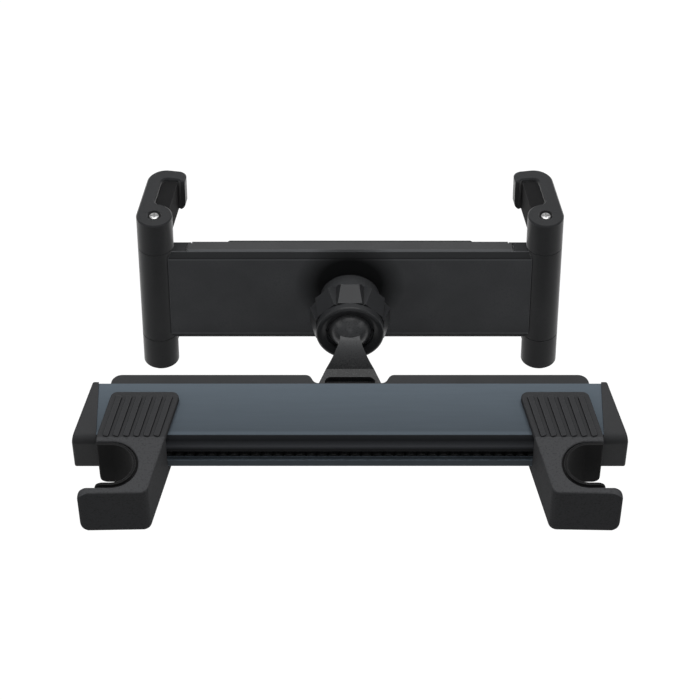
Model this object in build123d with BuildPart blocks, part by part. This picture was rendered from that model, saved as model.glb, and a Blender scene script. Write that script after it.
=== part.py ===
from build123d import *
from math import atan, cos, degrees, pi, radians, sin, sqrt, tan
import os

# Headrest tablet mount, in millimetres. The origin lies midway between the two headrest posts, at half the
# height of the hooks. +X runs along the bar, +Y towards the rear seat and +Z up along the posts.

# Fits
SLIDE_GAP = 0.3  # between pieces that slide or turn past each other
PIN_PLAY = 0.1  # radial play of a screw or axle in its hole
BALL_PLAY = 0.15  # radial play between the ball and what holds it
SEAT_GAP = 0.05  # between a soft liner and the pocket it is pressed into

# Headrest posts and their rubber liners
POST_SPACING = 170.0
POST_DIAMETER = 16.0
LINER_WALL = 1.7
LINER_RIM_WALL = 0.9
LINER_RIM_RISE = 0.4
LINER_SHOULDER = 1.2  # how far the liner's outer edge lies below the hook's top
LINER_LEG = 5.5  # straight run of the liner past the post axis
LINER_END_ROUND = 0.8

# Hooks
HOOK_HEIGHT = 25.0
HOOK_WIDTH = 24.8
HOOK_SLANT = 14.0
HOOK_TAIL_WALL = 2.2
HOOK_TAIL_OVERLAP = 19.5  # length of the tail over the bar
HOOK_BACK_WALL = 2.0
HOOK_LIP_WALL = 2.8
HOOK_LIP_RAKE = 0.5
HOOK_LIP_REACH = 11.7
HOOK_HEEL_REACH = 5.6
HOOK_HEEL_LAND = 2.6
HOOK_JAW_REACH = 12.0
HOOK_TAIL_CORNER = 2.5
HOOK_TOE_CORNER = 3.2
HOOK_LIP_CORNER = 1.3
HOOK_LIP_ROUND = 5.4  # of the lip's end, seen from the front
HOOK_FOOT_ROUND = 4.0  # along the inner lower edge
HOOK_HEEL_ROUND = 3.0  # of the jaws' lower ends
HOOK_EDGE = 0.7
TONGUE_WIDTH = 13.0
TONGUE_REACH = 6.0
RIB_COUNT = 6
RIB_PITCH = 3.65
RIB_WIDTH = 1.9
RIB_LENGTH = 18.0
RIB_CORNER = 0.5
RIB_RISE = 0.6
RIB_OFFSET = 8.6  # from the bar's front to the ribs' middle

# Headrest bar
PLATE_OVERHANG = 6.0  # of the top plate past a post axis
CAP_LENGTH = 9.0
BAR_DEPTH = 24.6
BAR_HEIGHT = 17.0
PLATE_WALL = 1.5
ROLL_RADIUS = 3.0
FLANGE_DROP = 7.5
RAIL_WALL = 2.5
RAIL_LIP_HEIGHT = 4.0
RAIL_LIP_WALL = 1.8
RACK_PITCH = 4.0
RACK_WIDTH = 4.0
RACK_BASE = 1.0
RACK_TOOTH = 1.5
RACK_CREST = 1.0
CAP_SLANT = 15.0
CAP_PLUG = 5.2
CAP_EDGE = 0.8
CAP_PROUD = 0.4  # above and behind the top plate
REAR_COVER_DEPTH = 4.2
REAR_COVER_INSET = 4.3
REAR_COVER_DROP = 0.5
REAR_COVER_CORNER = 4.0
DIP_DEPTH = 3.6
DIP_WIDTH = 25.8
DIP_SLOPE = 1.8
DIP_ROUND = 2.4

# Detent springs under the hooks' tongues
DETENT_WALL = 0.4
DETENT_DROP = 0.7
DETENT_LENGTH = 11.0
DETENT_BEND = 2.0
DETENT_WIDTH = 3.0
DETENT_SCREW_RADIUS = 0.8
DETENT_HEAD_RADIUS = 1.4
DETENT_HEAD_HEIGHT = 0.5
DETENT_BITE = 2.4

# Small screws
SCREW_RADIUS = 1.25
SCREW_HEAD_RADIUS = 2.2
SCREW_HEAD_HEIGHT = 1.3
SCREW_BITE = 4.5  # length of a screw in the piece that it holds

# Ball and neck
BALL_RADIUS = 8.5
BALL_REACH = 24.85  # from the rear edge of the top plate
BALL_RISE = 2.0  # above the top plate
NECK_WIDTH = 7.2
NECK_HEIGHT = 6.2
NECK_WAIST_WIDTH = 11.3
NECK_SWELL = 0.6  # of the neck's top and bottom outside a straight line
NECK_BASE_WIDTH = 22.6
NECK_SHOULDER_WIDTH = 17.6
NECK_BASE_DEPTH = 6.2
NECK_BASE_HEIGHT = 12.4
NECK_ARCH_WIDTH = 18.4
NECK_ARCH_REACH = 2.7
NECK_ARCH_DROP = 2.4
NECK_ARCH_CORNER = 2.4
NECK_SCREW_SPACING = 12.0

# Friction pad behind the ball
PAD_WALL = 1.35
PAD_SPREAD = 42.0
SEAT_SPREAD = 76.0

# Clamp body, leaning back from upright by CLAMP_TILT
CLAMP_TILT = 12.5
PANEL_DISTANCE = 15.6  # from the ball's centre
BARREL_SPACING = 142.6
BARREL_PROUD = 1.4  # of the panel
PANEL_INSET = 3.2
BODY_INSET = 11.8
BODY_HEIGHT = 41.6
BEVEL_RISE = 2.6
BEVEL_DEPTH = 1.3
COVER_WALL = 2.6
PANEL_WALL = 1.6
CAVITY_DEPTH = 3.0
BODY_SIDE_WALL = 2.0
FRONT_WALL = 1.4
LAP_REACH = 1.5  # of the arms' lips over the front cover's ends
LAP_WALL = 0.5
FRONT_PAD_LENGTH = 90.0
FRONT_PAD_WALL = 1.0
FRONT_PAD_MARGIN = 0.3
BODY_BOSS_RADIUS = 2.6
BODY_SCREW_X = (22.0, 40.0)
BODY_HEAD_HEIGHT = 0.8

# Ball socket and lock nut, in depths from the ball's centre
COLLET_RADIUS = 10.9
COLLET_TIP_RADIUS = 9.3
COLLET_TAPER = 1.0
COLLET_REACH = 3.2
COLLET_SLIT = 1.2
COLLET_SLITS = 6
COLLET_SLIT_DEPTH = 6.0
NUT_BACK = 8.0
NUT_BELLY = 5.6
NUT_BACK_TAPER = 42.0
NUT_RING_RADIUS = 12.5
NUT_RING_LENGTH = 3.1
NUT_RING_EDGE = 1.1
NUT_OPENING_RADIUS = 8.8
NUT_FLATS = 29.4
NUT_LOBES = 8
NUT_GROOVE = 3.8
NUT_LIP = 0.7
NUT_FUNNEL = 1.1  # depth of the flared mouth
NUT_MOUTH_RADIUS = 10.8

# Arms, rack and pinion
BARREL_RADIUS = 6.6
BARREL_HEIGHT = 70.0
ARM_ROOT_INSET = 6.5
ARM_END_GAP = 3.0
GEAR_MODULE = 1.0
GEAR_TEETH = 14
GEAR_ADDENDUM = 0.8
GEAR_DEDENDUM = 1.05
GEAR_BACKLASH = 0.2
PRESSURE_ANGLE = 20.0
FLANK_STEPS = 3
RACK_SPARE_TEETH = 2  # past the pinion's axis when the arms are closed
AXLE_RADIUS = 2.5

# Return springs
SPRING_RADIUS = 1.1
SPRING_WIRE = 0.45
SPRING_HEAD_RADIUS = 0.9
SPRING_LUG = 2.0
SPRING_ANCHOR = 20.0
SPRING_LUG_INSET = 4.0  # of the arm's lug from the arm's root

# Claws and their soft pads
CLAW_LEAN = 9.0
CLAW_REACH = 26.7
CLAW_WALL = 5.2
CLAW_LIP_WALL = 5.1
CLAW_LIP_REACH = 7.2
CLAW_CATCH = 0.9
CLAW_CATCH_WIDTH = 1.6
CLAW_CATCH_SLOPE = 1.0
CLAW_CORNER = 7.0
CLAW_TIP_CORNER = 3.0
CLAW_LIP_ROUND = 3.6  # of the lip's corner next to the arm
CLAW_POCKET_CORNER = 2.4
CLAW_KNUCKLE_ROUND = 2.0
CLAW_EDGE = 0.5
CLAW_PAD_WALL = 5.8
CLAW_PAD_DROP = 1.3
HINGE_SCREW_RADIUS = 1.5
HINGE_HEAD_RADIUS = 2.0
HINGE_WELL_RADIUS = 2.6  # of the recess that the head sits in
HINGE_HEAD_HEIGHT = 1.6
HINGE_HEAD_DEPTH = 2.0
HINGE_BITE = 9.0

STANDING = (Align.CENTER, Align.CENTER, Align.MIN)
HANGING = (Align.CENTER, Align.CENTER, Align.MAX)

os.makedirs("parts", exist_ok=True)

# Places worked out from the sizes
pocket_radius = POST_DIAMETER / 2 + LINER_WALL
post_x = -POST_SPACING / 2
hook_top = HOOK_HEIGHT / 2
hook_bottom = -HOOK_HEIGHT / 2
hook_inner = pocket_radius + HOOK_BACK_WALL
bar_top = hook_top - HOOK_TAIL_WALL - SLIDE_GAP
bar_bottom = bar_top - BAR_HEIGHT
bar_front = hook_inner + SLIDE_GAP
bar_rear = bar_front + BAR_DEPTH
tail_reach = bar_front + HOOK_TAIL_OVERLAP
plate_length = POST_SPACING + 2 * PLATE_OVERHANG
bar_length = plate_length + 2 * CAP_LENGTH
rear_cover_length = plate_length - 2 * REAR_COVER_INSET
plate_under = bar_top - PLATE_WALL
flange_bottom = bar_top - FLANGE_DROP
floor_top = bar_bottom + RAIL_WALL
shelf_under = plate_under - RAIL_WALL
lip_top = bar_bottom + RAIL_LIP_HEIGHT
rail_back = bar_rear - RAIL_WALL
rack_front = bar_front + RAIL_LIP_WALL
rack_crest = floor_top + RACK_BASE + RACK_TOOTH
tongue_bottom = rack_crest + SLIDE_GAP + DETENT_DROP + DETENT_WALL
cover_back = bar_rear + REAR_COVER_DEPTH
cover_top = bar_top - REAR_COVER_DROP
dip_back = cover_back - DIP_DEPTH
base_bottom = cover_top - NECK_BASE_HEIGHT
neck_screw_z = (cover_top + base_bottom) / 2
cap_screw_x = plate_length / 2 - CAP_PLUG / 2
cap_screw_y = (bar_front + rail_back) / 2

ball = Vector(0, bar_rear + BALL_REACH, bar_top + BALL_RISE)
lean = radians(CLAMP_TILT)
depth_dir = Vector(0, cos(lean), -sin(lean))
up_dir = Vector(0, sin(lean), cos(lean))
# On the face plane x runs along the clamp and y up it, and the plane faces the bar. On the plan plane y runs
# away from the bar and the plane faces up the clamp. On the side plane x runs away from the bar and y up the
# clamp.
face_plane = Plane(origin=ball, x_dir=(1, 0, 0), z_dir=-depth_dir)
plan_plane = Plane(origin=ball, x_dir=(1, 0, 0), z_dir=up_dir)
side_plane = Plane(origin=ball, x_dir=depth_dir, z_dir=(1, 0, 0))
socket_axis = Axis(ball, depth_dir)

body_length = BARREL_SPACING - 2 * BODY_INSET
panel_length = BARREL_SPACING - 2 * PANEL_INSET
panel_height = BODY_HEIGHT - 2 * BEVEL_RISE
cavity_back = PANEL_DISTANCE + COVER_WALL
cavity_front = cavity_back + CAVITY_DEPTH
body_front = cavity_front + FRONT_WALL
cavity_half_height = BODY_HEIGHT / 2 - BODY_SIDE_WALL
panel_inner = PANEL_DISTANCE + PANEL_WALL
arm_back = cavity_back + SLIDE_GAP
arm_front = cavity_front - SLIDE_GAP
barrel_x = -BARREL_SPACING / 2
barrel_depth = PANEL_DISTANCE + BARREL_RADIUS - BARREL_PROUD
claw_bottom = BODY_HEIGHT / 2 + SLIDE_GAP
claw_height = BARREL_HEIGHT / 2 - claw_bottom
arm_root = body_length / 2 - ARM_ROOT_INSET
arm_bar_end = arm_root - ARM_END_GAP
body_screws = [(x, 0) for x in BODY_SCREW_X] + [(-x, 0) for x in BODY_SCREW_X]

grip_radius = BALL_RADIUS + BALL_PLAY
pad_radius = grip_radius + PAD_WALL
seat_radius = pad_radius + BALL_PLAY
seat_lip = seat_radius * cos(radians(SEAT_SPREAD))
nut_throat = COLLET_REACH + SLIDE_GAP + NUT_LIP
nut_reach = nut_throat + NUT_FUNNEL
nut_shoulder = nut_reach - NUT_RING_LENGTH
nut_corner = NUT_FLATS / 2 / cos(pi / NUT_LOBES)

gear_pitch_radius = GEAR_MODULE * GEAR_TEETH / 2
gear_pitch = pi * GEAR_MODULE
gear_base_radius = gear_pitch_radius * cos(radians(PRESSURE_ANGLE))
gear_tip_radius = gear_pitch_radius + GEAR_ADDENDUM * GEAR_MODULE
gear_root_radius = gear_pitch_radius - GEAR_DEDENDUM * GEAR_MODULE
tooth_half = (gear_pitch - GEAR_BACKLASH) / 4
rack_root = gear_pitch_radius + GEAR_DEDENDUM * GEAR_MODULE
bar_crown = cavity_half_height - 2 * SLIDE_GAP - 2 * SPRING_RADIUS
spring_height = bar_crown + SLIDE_GAP + SPRING_RADIUS
spring_depth = (arm_back + arm_front) / 2
spring_lug = arm_root - SPRING_LUG_INSET


def corner_waste(x, height, radius, way):
    """Adds to an upright sketch what rounding a left-hand corner takes away, upwards where way is 1."""
    with Locations((x, height)):
        Rectangle(2 * radius, 2 * radius)
    with Locations((x + radius, height + way * radius)):
        Circle(radius, mode=Mode.SUBTRACT)


def involute_angle(radius):
    """Angle in radians from the start of the pinion's involute to the point at a radius."""
    roll = sqrt(max(radius**2 - gear_base_radius**2, 0)) / gear_base_radius
    return roll - atan(roll)


def flank_point(radius):
    """Point at a radius on the flank of a pinion tooth that points along +Y."""
    turn = tooth_half / gear_pitch_radius + involute_angle(gear_pitch_radius) - involute_angle(radius)
    return radius * sin(turn), radius * cos(turn)


# Top plate of the bar, a bent aluminium sheet
with BuildPart() as top_plate:
    with BuildSketch(Plane.YZ.offset(-plate_length / 2)) as plate_section:
        with BuildLine():
            Polyline(
                (bar_rear, bar_top),
                (bar_front, bar_top),
                (bar_front, flange_bottom),
                (bar_front + PLATE_WALL, flange_bottom),
                (bar_front + PLATE_WALL, plate_under),
                (bar_rear, plate_under),
                close=True,
            )
        make_face()
        outer_bend = plate_section.vertices().sort_by_distance((bar_front, bar_top))[0]
        inner_bend = plate_section.vertices().sort_by_distance((bar_front + PLATE_WALL, plate_under))[0]
        fillet(outer_bend, ROLL_RADIUS)
        fillet(inner_bend, ROLL_RADIUS - PLATE_WALL)
    extrude(amount=plate_length)

# Rail body, a channel that is open to the front
with BuildPart() as rail_body:
    with BuildSketch(Plane.YZ.offset(-plate_length / 2)):
        with BuildLine():
            Polyline(
                (bar_front + ROLL_RADIUS, plate_under),
                (bar_rear, plate_under),
                (bar_rear, bar_bottom),
                (bar_front, bar_bottom),
                (bar_front, lip_top),
                (rack_front, lip_top),
                (rack_front, floor_top),
                (rail_back, floor_top),
                (rail_back, shelf_under),
                (bar_front + ROLL_RADIUS, shelf_under),
                close=True,
            )
        make_face()
    extrude(amount=plate_length)
    with Locations((-cap_screw_x, cap_screw_y, bar_bottom), (cap_screw_x, cap_screw_y, bar_bottom)):
        Cylinder(SCREW_RADIUS + PIN_PLAY, 2 * RAIL_WALL, mode=Mode.SUBTRACT)
        Cylinder(SCREW_HEAD_RADIUS + PIN_PLAY, 2 * SCREW_HEAD_HEIGHT, mode=Mode.SUBTRACT)
    with Locations(Plane.XZ.offset(-rail_back)):
        with GridLocations(NECK_SCREW_SPACING, 1, 2, 1):
            with Locations((0, neck_screw_z)):
                Cylinder(SCREW_RADIUS + PIN_PLAY, 4 * RAIL_WALL, mode=Mode.SUBTRACT)

# Toothed rack on the floor of the rail
rack_length = plate_length - 2 * CAP_PLUG - 2 * SLIDE_GAP
rack_teeth = int(rack_length / RACK_PITCH)
with BuildPart() as tooth_rack:
    with BuildSketch(Plane.XZ.offset(-rack_front - RACK_WIDTH)):
        with Locations((0, floor_top)):
            Rectangle(rack_length, RACK_BASE, align=(Align.CENTER, Align.MIN))
        with Locations((0, floor_top + RACK_BASE)):
            with GridLocations(RACK_PITCH, 1, rack_teeth, 1):
                Polygon(
                    (-RACK_PITCH / 2, 0),
                    (-RACK_CREST / 2, RACK_TOOTH),
                    (RACK_CREST / 2, RACK_TOOTH),
                    (RACK_PITCH / 2, 0),
                    align=None,
                )
    extrude(amount=RACK_WIDTH)

# Rear cover of the bar, with the dip that the neck's base sits in
with BuildPart() as rear_cover:
    with BuildSketch(Plane.XY.offset(bar_bottom)) as cover_plan:
        with BuildLine():
            Polyline(
                (-rear_cover_length / 2, bar_rear),
                (-rear_cover_length / 2, cover_back),
                (-DIP_WIDTH / 2 - DIP_SLOPE, cover_back),
                (-DIP_WIDTH / 2, dip_back),
                (DIP_WIDTH / 2, dip_back),
                (DIP_WIDTH / 2 + DIP_SLOPE, cover_back),
                (rear_cover_length / 2, cover_back),
                (rear_cover_length / 2, bar_rear),
                close=True,
            )
        make_face()
        cover_ends = cover_plan.vertices().group_by(Axis.Y)[-1].sort_by(Axis.X)
        fillet([cover_ends[0], cover_ends[-1]], REAR_COVER_CORNER)
        for side in (1, -1):
            dip_foot = (side * DIP_WIDTH / 2, dip_back)
            dip_crest = (side * (DIP_WIDTH / 2 + DIP_SLOPE), cover_back)
            for corner in (dip_foot, dip_crest):
                fillet(cover_plan.vertices().sort_by_distance(corner)[0], DIP_ROUND)
    extrude(amount=cover_top - bar_bottom)
    with Locations(Plane.XZ.offset(-bar_rear)):
        with GridLocations(NECK_SCREW_SPACING, 1, 2, 1):
            with Locations((0, neck_screw_z)):
                Cylinder(SCREW_RADIUS + PIN_PLAY, 4 * REAR_COVER_DEPTH, mode=Mode.SUBTRACT)

# Left end cap: a slanted block with a plug that closes the channel
with BuildPart() as left_end_cap:
    with BuildSketch(Plane.XY.offset(bar_bottom)):
        with BuildLine():
            Polyline(
                (-plate_length / 2, bar_front),
                (-bar_length / 2, bar_front),
                (-bar_length / 2 + (BAR_DEPTH + CAP_PROUD) * tan(radians(CAP_SLANT)), bar_rear + CAP_PROUD),
                (-plate_length / 2, bar_rear + CAP_PROUD),
                close=True,
            )
        make_face()
    extrude(amount=BAR_HEIGHT + CAP_PROUD)
    cap_corner = (-bar_length / 2, bar_front, bar_top + CAP_PROUD)
    cap_front = left_end_cap.edges().filter_by(Axis.X).sort_by_distance(cap_corner)[0]
    fillet(cap_front, ROLL_RADIUS + CAP_PROUD)
    fillet(left_end_cap.faces().sort_by(Axis.X)[0].edges(), CAP_EDGE)
    with Locations((-plate_length / 2, bar_front + ROLL_RADIUS, floor_top)):
        Box(
            CAP_PLUG,
            rail_back - PIN_PLAY - bar_front - ROLL_RADIUS,
            shelf_under - PIN_PLAY - floor_top,
            align=(Align.MIN, Align.MIN, Align.MIN),
        )
    with Locations((-cap_screw_x, cap_screw_y, floor_top)):
        Cylinder(SCREW_RADIUS + PIN_PLAY, 2 * SCREW_BITE + 2 * PIN_PLAY, mode=Mode.SUBTRACT)

with BuildPart() as right_end_cap:
    mirror(left_end_cap.part, about=Plane.YZ)

# Screws that hold the end caps, driven up through the floor of the rail
with BuildPart() as cap_screws:
    with Locations((-cap_screw_x, cap_screw_y, bar_bottom), (cap_screw_x, cap_screw_y, bar_bottom)):
        Cylinder(SCREW_HEAD_RADIUS, SCREW_HEAD_HEIGHT, align=STANDING)
        Cylinder(SCREW_RADIUS, RAIL_WALL + SCREW_BITE, align=STANDING)

# Left hook: its outline from above, cut out for the post and for the bar
slant = tan(radians(HOOK_SLANT))
heel_x = post_x - HOOK_HEEL_REACH
heel_y = pocket_radius + HOOK_HEEL_LAND
tail_left = heel_x + (tail_reach - heel_y) * slant
tail_right = tail_left + HOOK_WIDTH
lip_front = -pocket_radius - HOOK_LIP_WALL
toe_front = lip_front + HOOK_LIP_RAKE
toe_x = tail_right - (tail_reach - toe_front) * slant
lip_x = post_x - HOOK_LIP_REACH
tongue_x = tail_left + HOOK_WIDTH / 2 - (tail_reach - bar_front) * slant
rib_y = bar_front + RIB_OFFSET
rib_x = tail_left + HOOK_WIDTH / 2 - (tail_reach - rib_y) * slant
detent_y = rack_front + RACK_WIDTH / 2
detent_screw_x = tongue_x - DETENT_LENGTH / 4
detent_bend_x = tongue_x + DETENT_LENGTH / 4
with BuildPart() as left_hook:
    with BuildSketch(Plane.XY.offset(hook_bottom)) as hook_plan:
        with BuildLine():
            Polyline(
                (heel_x, heel_y),
                (tail_left, tail_reach),
                (tail_right, tail_reach),
                (toe_x, toe_front),
                (lip_x, lip_front),
                (lip_x, -pocket_radius),
                (heel_x, -pocket_radius),
                close=True,
            )
        make_face()
        with Locations((post_x, 0)):
            Circle(pocket_radius, mode=Mode.SUBTRACT)
            Rectangle(
                2 * HOOK_LIP_REACH,
                2 * pocket_radius,
                align=(Align.MAX, Align.CENTER),
                mode=Mode.SUBTRACT,
            )
        for corner, radius in (
            ((tail_left, tail_reach), HOOK_TAIL_CORNER),
            ((tail_right, tail_reach), HOOK_TAIL_CORNER),
            ((toe_x, toe_front), HOOK_TOE_CORNER),
            ((lip_x, lip_front), HOOK_LIP_CORNER),
            ((lip_x, -pocket_radius), HOOK_LIP_CORNER),
        ):
            fillet(hook_plan.vertices().sort_by_distance(corner)[0], radius)
    extrude(amount=HOOK_HEIGHT)
    fillet(left_hook.faces().sort_by(Axis.Z)[-1].edges(), HOOK_EDGE)
    chamfer(left_hook.faces().sort_by(Axis.Z)[0].edges(), HOOK_EDGE)
    with BuildSketch(Plane.XZ):
        corner_waste(lip_x, hook_top, HOOK_LIP_ROUND, -1)
        corner_waste(lip_x, hook_bottom, HOOK_LIP_ROUND, 1)
    extrude(amount=tail_reach, mode=Mode.SUBTRACT)
    with BuildSketch(Plane.XZ):
        corner_waste(heel_x, hook_bottom, HOOK_HEEL_ROUND, 1)
    extrude(amount=-tail_reach, mode=Mode.SUBTRACT)
    with BuildSketch(Plane.XZ.offset(-tail_reach)):
        with Locations((tail_right, hook_bottom)):
            Rectangle(HOOK_FOOT_ROUND, HOOK_FOOT_ROUND, align=(Align.MAX, Align.MIN))
        with Locations((tail_right - HOOK_FOOT_ROUND, hook_bottom + HOOK_FOOT_ROUND)):
            Circle(HOOK_FOOT_ROUND, mode=Mode.SUBTRACT)
    extrude(amount=2 * tail_reach, dir=(-slant, -1, 0), mode=Mode.SUBTRACT)
    with Locations((post_x, hook_inner, bar_bottom - SLIDE_GAP)):
        Box(
            4 * HOOK_WIDTH,
            2 * tail_reach,
            BAR_HEIGHT + 2 * SLIDE_GAP,
            align=(Align.CENTER, Align.MIN, Align.MIN),
            mode=Mode.SUBTRACT,
        )
    with Locations((post_x, hook_inner + HOOK_JAW_REACH, bar_bottom)):
        Box(
            4 * HOOK_WIDTH,
            2 * tail_reach,
            HOOK_HEIGHT,
            align=(Align.CENTER, Align.MIN, Align.MAX),
            mode=Mode.SUBTRACT,
        )
    with Locations((tongue_x, hook_inner, tongue_bottom)):
        Box(
            TONGUE_WIDTH,
            SLIDE_GAP + TONGUE_REACH,
            flange_bottom - SLIDE_GAP - tongue_bottom,
            align=(Align.CENTER, Align.MIN, Align.MIN),
        )
    with Locations((detent_screw_x, detent_y, tongue_bottom)):
        Cylinder(DETENT_SCREW_RADIUS + PIN_PLAY, 2 * DETENT_BITE + 2 * PIN_PLAY, mode=Mode.SUBTRACT)
    with BuildSketch(Plane.XY.offset(hook_top)):
        with Locations((rib_x, rib_y)):
            with GridLocations(RIB_PITCH, 1, RIB_COUNT, 1):
                RectangleRounded(RIB_WIDTH, RIB_LENGTH, RIB_CORNER, rotation=-HOOK_SLANT)
    extrude(amount=RIB_RISE)

with BuildPart() as right_hook:
    mirror(left_hook.part, about=Plane.YZ)

# Rubber liner of the left hook's pocket, with a raised inner rim
liner_bottom = hook_bottom + LINER_SHOULDER
with BuildPart() as left_post_liner:
    for outer_radius, top in (
        (pocket_radius - SEAT_GAP, hook_top - LINER_SHOULDER),
        (POST_DIAMETER / 2 + LINER_RIM_WALL, hook_top + LINER_RIM_RISE),
    ):
        with BuildSketch(Plane.XY.offset(liner_bottom)) as liner_plan:
            with Locations((post_x, 0)):
                Circle(outer_radius)
                Rectangle(LINER_LEG, 2 * outer_radius, align=(Align.MAX, Align.CENTER))
                Circle(POST_DIAMETER / 2, mode=Mode.SUBTRACT)
                Rectangle(
                    2 * pocket_radius,
                    POST_DIAMETER,
                    align=(Align.MAX, Align.CENTER),
                    mode=Mode.SUBTRACT,
                )
            with Locations((post_x - LINER_LEG, 0)):
                Rectangle(
                    2 * pocket_radius,
                    4 * pocket_radius,
                    align=(Align.MAX, Align.CENTER),
                    mode=Mode.SUBTRACT,
                )
            for end in (1, -1):
                corner = (post_x - LINER_LEG, end * POST_DIAMETER / 2)
                fillet(liner_plan.vertices().sort_by_distance(corner)[0], LINER_END_ROUND)
        extrude(amount=top - liner_bottom)
    with BuildSketch(Plane.XZ):
        corner_waste(post_x - LINER_LEG, liner_bottom, HOOK_HEEL_ROUND, 1)
    extrude(amount=tail_reach, both=True, mode=Mode.SUBTRACT)
    with BuildSketch(Plane.XZ):
        corner_waste(post_x - LINER_LEG, hook_top + LINER_RIM_RISE, HOOK_HEEL_ROUND, -1)
    extrude(amount=tail_reach, mode=Mode.SUBTRACT)

with BuildPart() as right_post_liner:
    mirror(left_post_liner.part, about=Plane.YZ)

# Leaf spring under the left tongue, whose bend clicks over the rack's teeth and is drawn lifted over a crest
with BuildPart() as left_detent_spring:
    with BuildSketch(Plane.XZ.offset(-detent_y - DETENT_WIDTH / 2)):
        with BuildLine():
            Polyline(
                (tongue_x - DETENT_LENGTH / 2, tongue_bottom),
                (detent_bend_x - DETENT_BEND, tongue_bottom),
                (detent_bend_x, tongue_bottom - DETENT_DROP),
                (detent_bend_x + DETENT_BEND, tongue_bottom),
                (tongue_x + DETENT_LENGTH / 2, tongue_bottom),
                (tongue_x + DETENT_LENGTH / 2, tongue_bottom - DETENT_WALL),
                (detent_bend_x + DETENT_BEND, tongue_bottom - DETENT_WALL),
                (detent_bend_x, tongue_bottom - DETENT_DROP - DETENT_WALL),
                (detent_bend_x - DETENT_BEND, tongue_bottom - DETENT_WALL),
                (tongue_x - DETENT_LENGTH / 2, tongue_bottom - DETENT_WALL),
                close=True,
            )
        make_face()
    extrude(amount=DETENT_WIDTH)
    with Locations((detent_screw_x, detent_y, tongue_bottom)):
        Cylinder(DETENT_SCREW_RADIUS + PIN_PLAY, 4 * DETENT_WALL, mode=Mode.SUBTRACT)

with BuildPart() as right_detent_spring:
    mirror(left_detent_spring.part, about=Plane.YZ)

with BuildPart() as left_detent_screw:
    with Locations((detent_screw_x, detent_y, tongue_bottom - DETENT_WALL)):
        Cylinder(DETENT_HEAD_RADIUS, DETENT_HEAD_HEIGHT, align=HANGING)
        Cylinder(DETENT_SCREW_RADIUS, DETENT_WALL + DETENT_BITE, align=STANDING)

with BuildPart() as right_detent_screw:
    mirror(left_detent_screw.part, about=Plane.YZ)

# Neck and ball: the side outline cut to the outline from above
base_end = dip_back + NECK_BASE_DEPTH
neck_end = ball.Y - BALL_RADIUS
waist_y = (base_end + neck_end) / 2
neck_top = ball.Z + NECK_HEIGHT / 2
neck_bottom = ball.Z - NECK_HEIGHT / 2
with BuildPart() as ball_stud:
    with BuildSketch(Plane.YZ):
        with BuildLine():
            Polyline(
                (base_end, base_bottom),
                (dip_back, base_bottom),
                (dip_back, cover_top),
                (base_end, cover_top),
            )
            ThreePointArc(
                (base_end, cover_top),
                (waist_y, (cover_top + neck_top) / 2 + NECK_SWELL),
                (neck_end, neck_top),
            )
            Polyline(
                (neck_end, neck_top),
                (ball.Y, neck_top),
                (ball.Y, neck_bottom),
                (neck_end, neck_bottom),
            )
            ThreePointArc(
                (neck_end, neck_bottom),
                (waist_y, (base_bottom + neck_bottom) / 2 - NECK_SWELL),
                (base_end, base_bottom),
            )
        make_face()
    extrude(amount=NECK_BASE_WIDTH, both=True)
    with BuildSketch(Plane.XY.offset(bar_bottom)):
        with BuildLine():
            Polyline(
                (0, dip_back),
                (NECK_BASE_WIDTH / 2, dip_back),
                (NECK_SHOULDER_WIDTH / 2, base_end),
            )
            ThreePointArc(
                (NECK_SHOULDER_WIDTH / 2, base_end),
                (NECK_WAIST_WIDTH / 2, waist_y),
                (NECK_WIDTH / 2, neck_end),
            )
            Polyline((NECK_WIDTH / 2, neck_end), (NECK_WIDTH / 2, ball.Y), (0, ball.Y))
            mirror(about=Plane.YZ)
        make_face()
    extrude(amount=2 * BAR_HEIGHT, mode=Mode.INTERSECT)
    with BuildSketch(Plane.XY.offset(cover_top)):
        with Locations((0, dip_back)):
            RectangleRounded(NECK_ARCH_WIDTH, 2 * NECK_ARCH_REACH, NECK_ARCH_CORNER)
    extrude(amount=-NECK_ARCH_DROP, mode=Mode.SUBTRACT)
    with Locations(ball):
        Sphere(BALL_RADIUS)
    with Locations(Plane.XZ.offset(-dip_back)):
        with Locations((-NECK_SCREW_SPACING / 2, neck_screw_z), (NECK_SCREW_SPACING / 2, neck_screw_z)):
            Cylinder(SCREW_RADIUS + PIN_PLAY, 2 * SCREW_BITE + 2 * PIN_PLAY, mode=Mode.SUBTRACT)

# Screws that hold the neck, driven from inside the rail
with BuildPart() as neck_screws:
    with Locations(Plane.XZ.offset(-rail_back)):
        with Locations((-NECK_SCREW_SPACING / 2, neck_screw_z), (NECK_SCREW_SPACING / 2, neck_screw_z)):
            Cylinder(SCREW_HEAD_RADIUS, SCREW_HEAD_HEIGHT, align=STANDING)
            Cylinder(SCREW_RADIUS, dip_back - rail_back + SCREW_BITE, align=HANGING)

# Friction pad, a cap of a hollow sphere behind the ball
spread = radians(PAD_SPREAD)
with BuildPart() as friction_pad:
    with BuildSketch(Plane(origin=ball)):
        with BuildLine():
            CenterArc((0, 0), grip_radius, 90 - PAD_SPREAD, PAD_SPREAD)
            Line((0, grip_radius), (0, pad_radius))
            CenterArc((0, 0), pad_radius, 90 - PAD_SPREAD, PAD_SPREAD)
            Line(
                (grip_radius * sin(spread), grip_radius * cos(spread)),
                (pad_radius * sin(spread), pad_radius * cos(spread)),
            )
        make_face()
    revolve(axis=Axis(ball, (0, 1, 0)))

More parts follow.
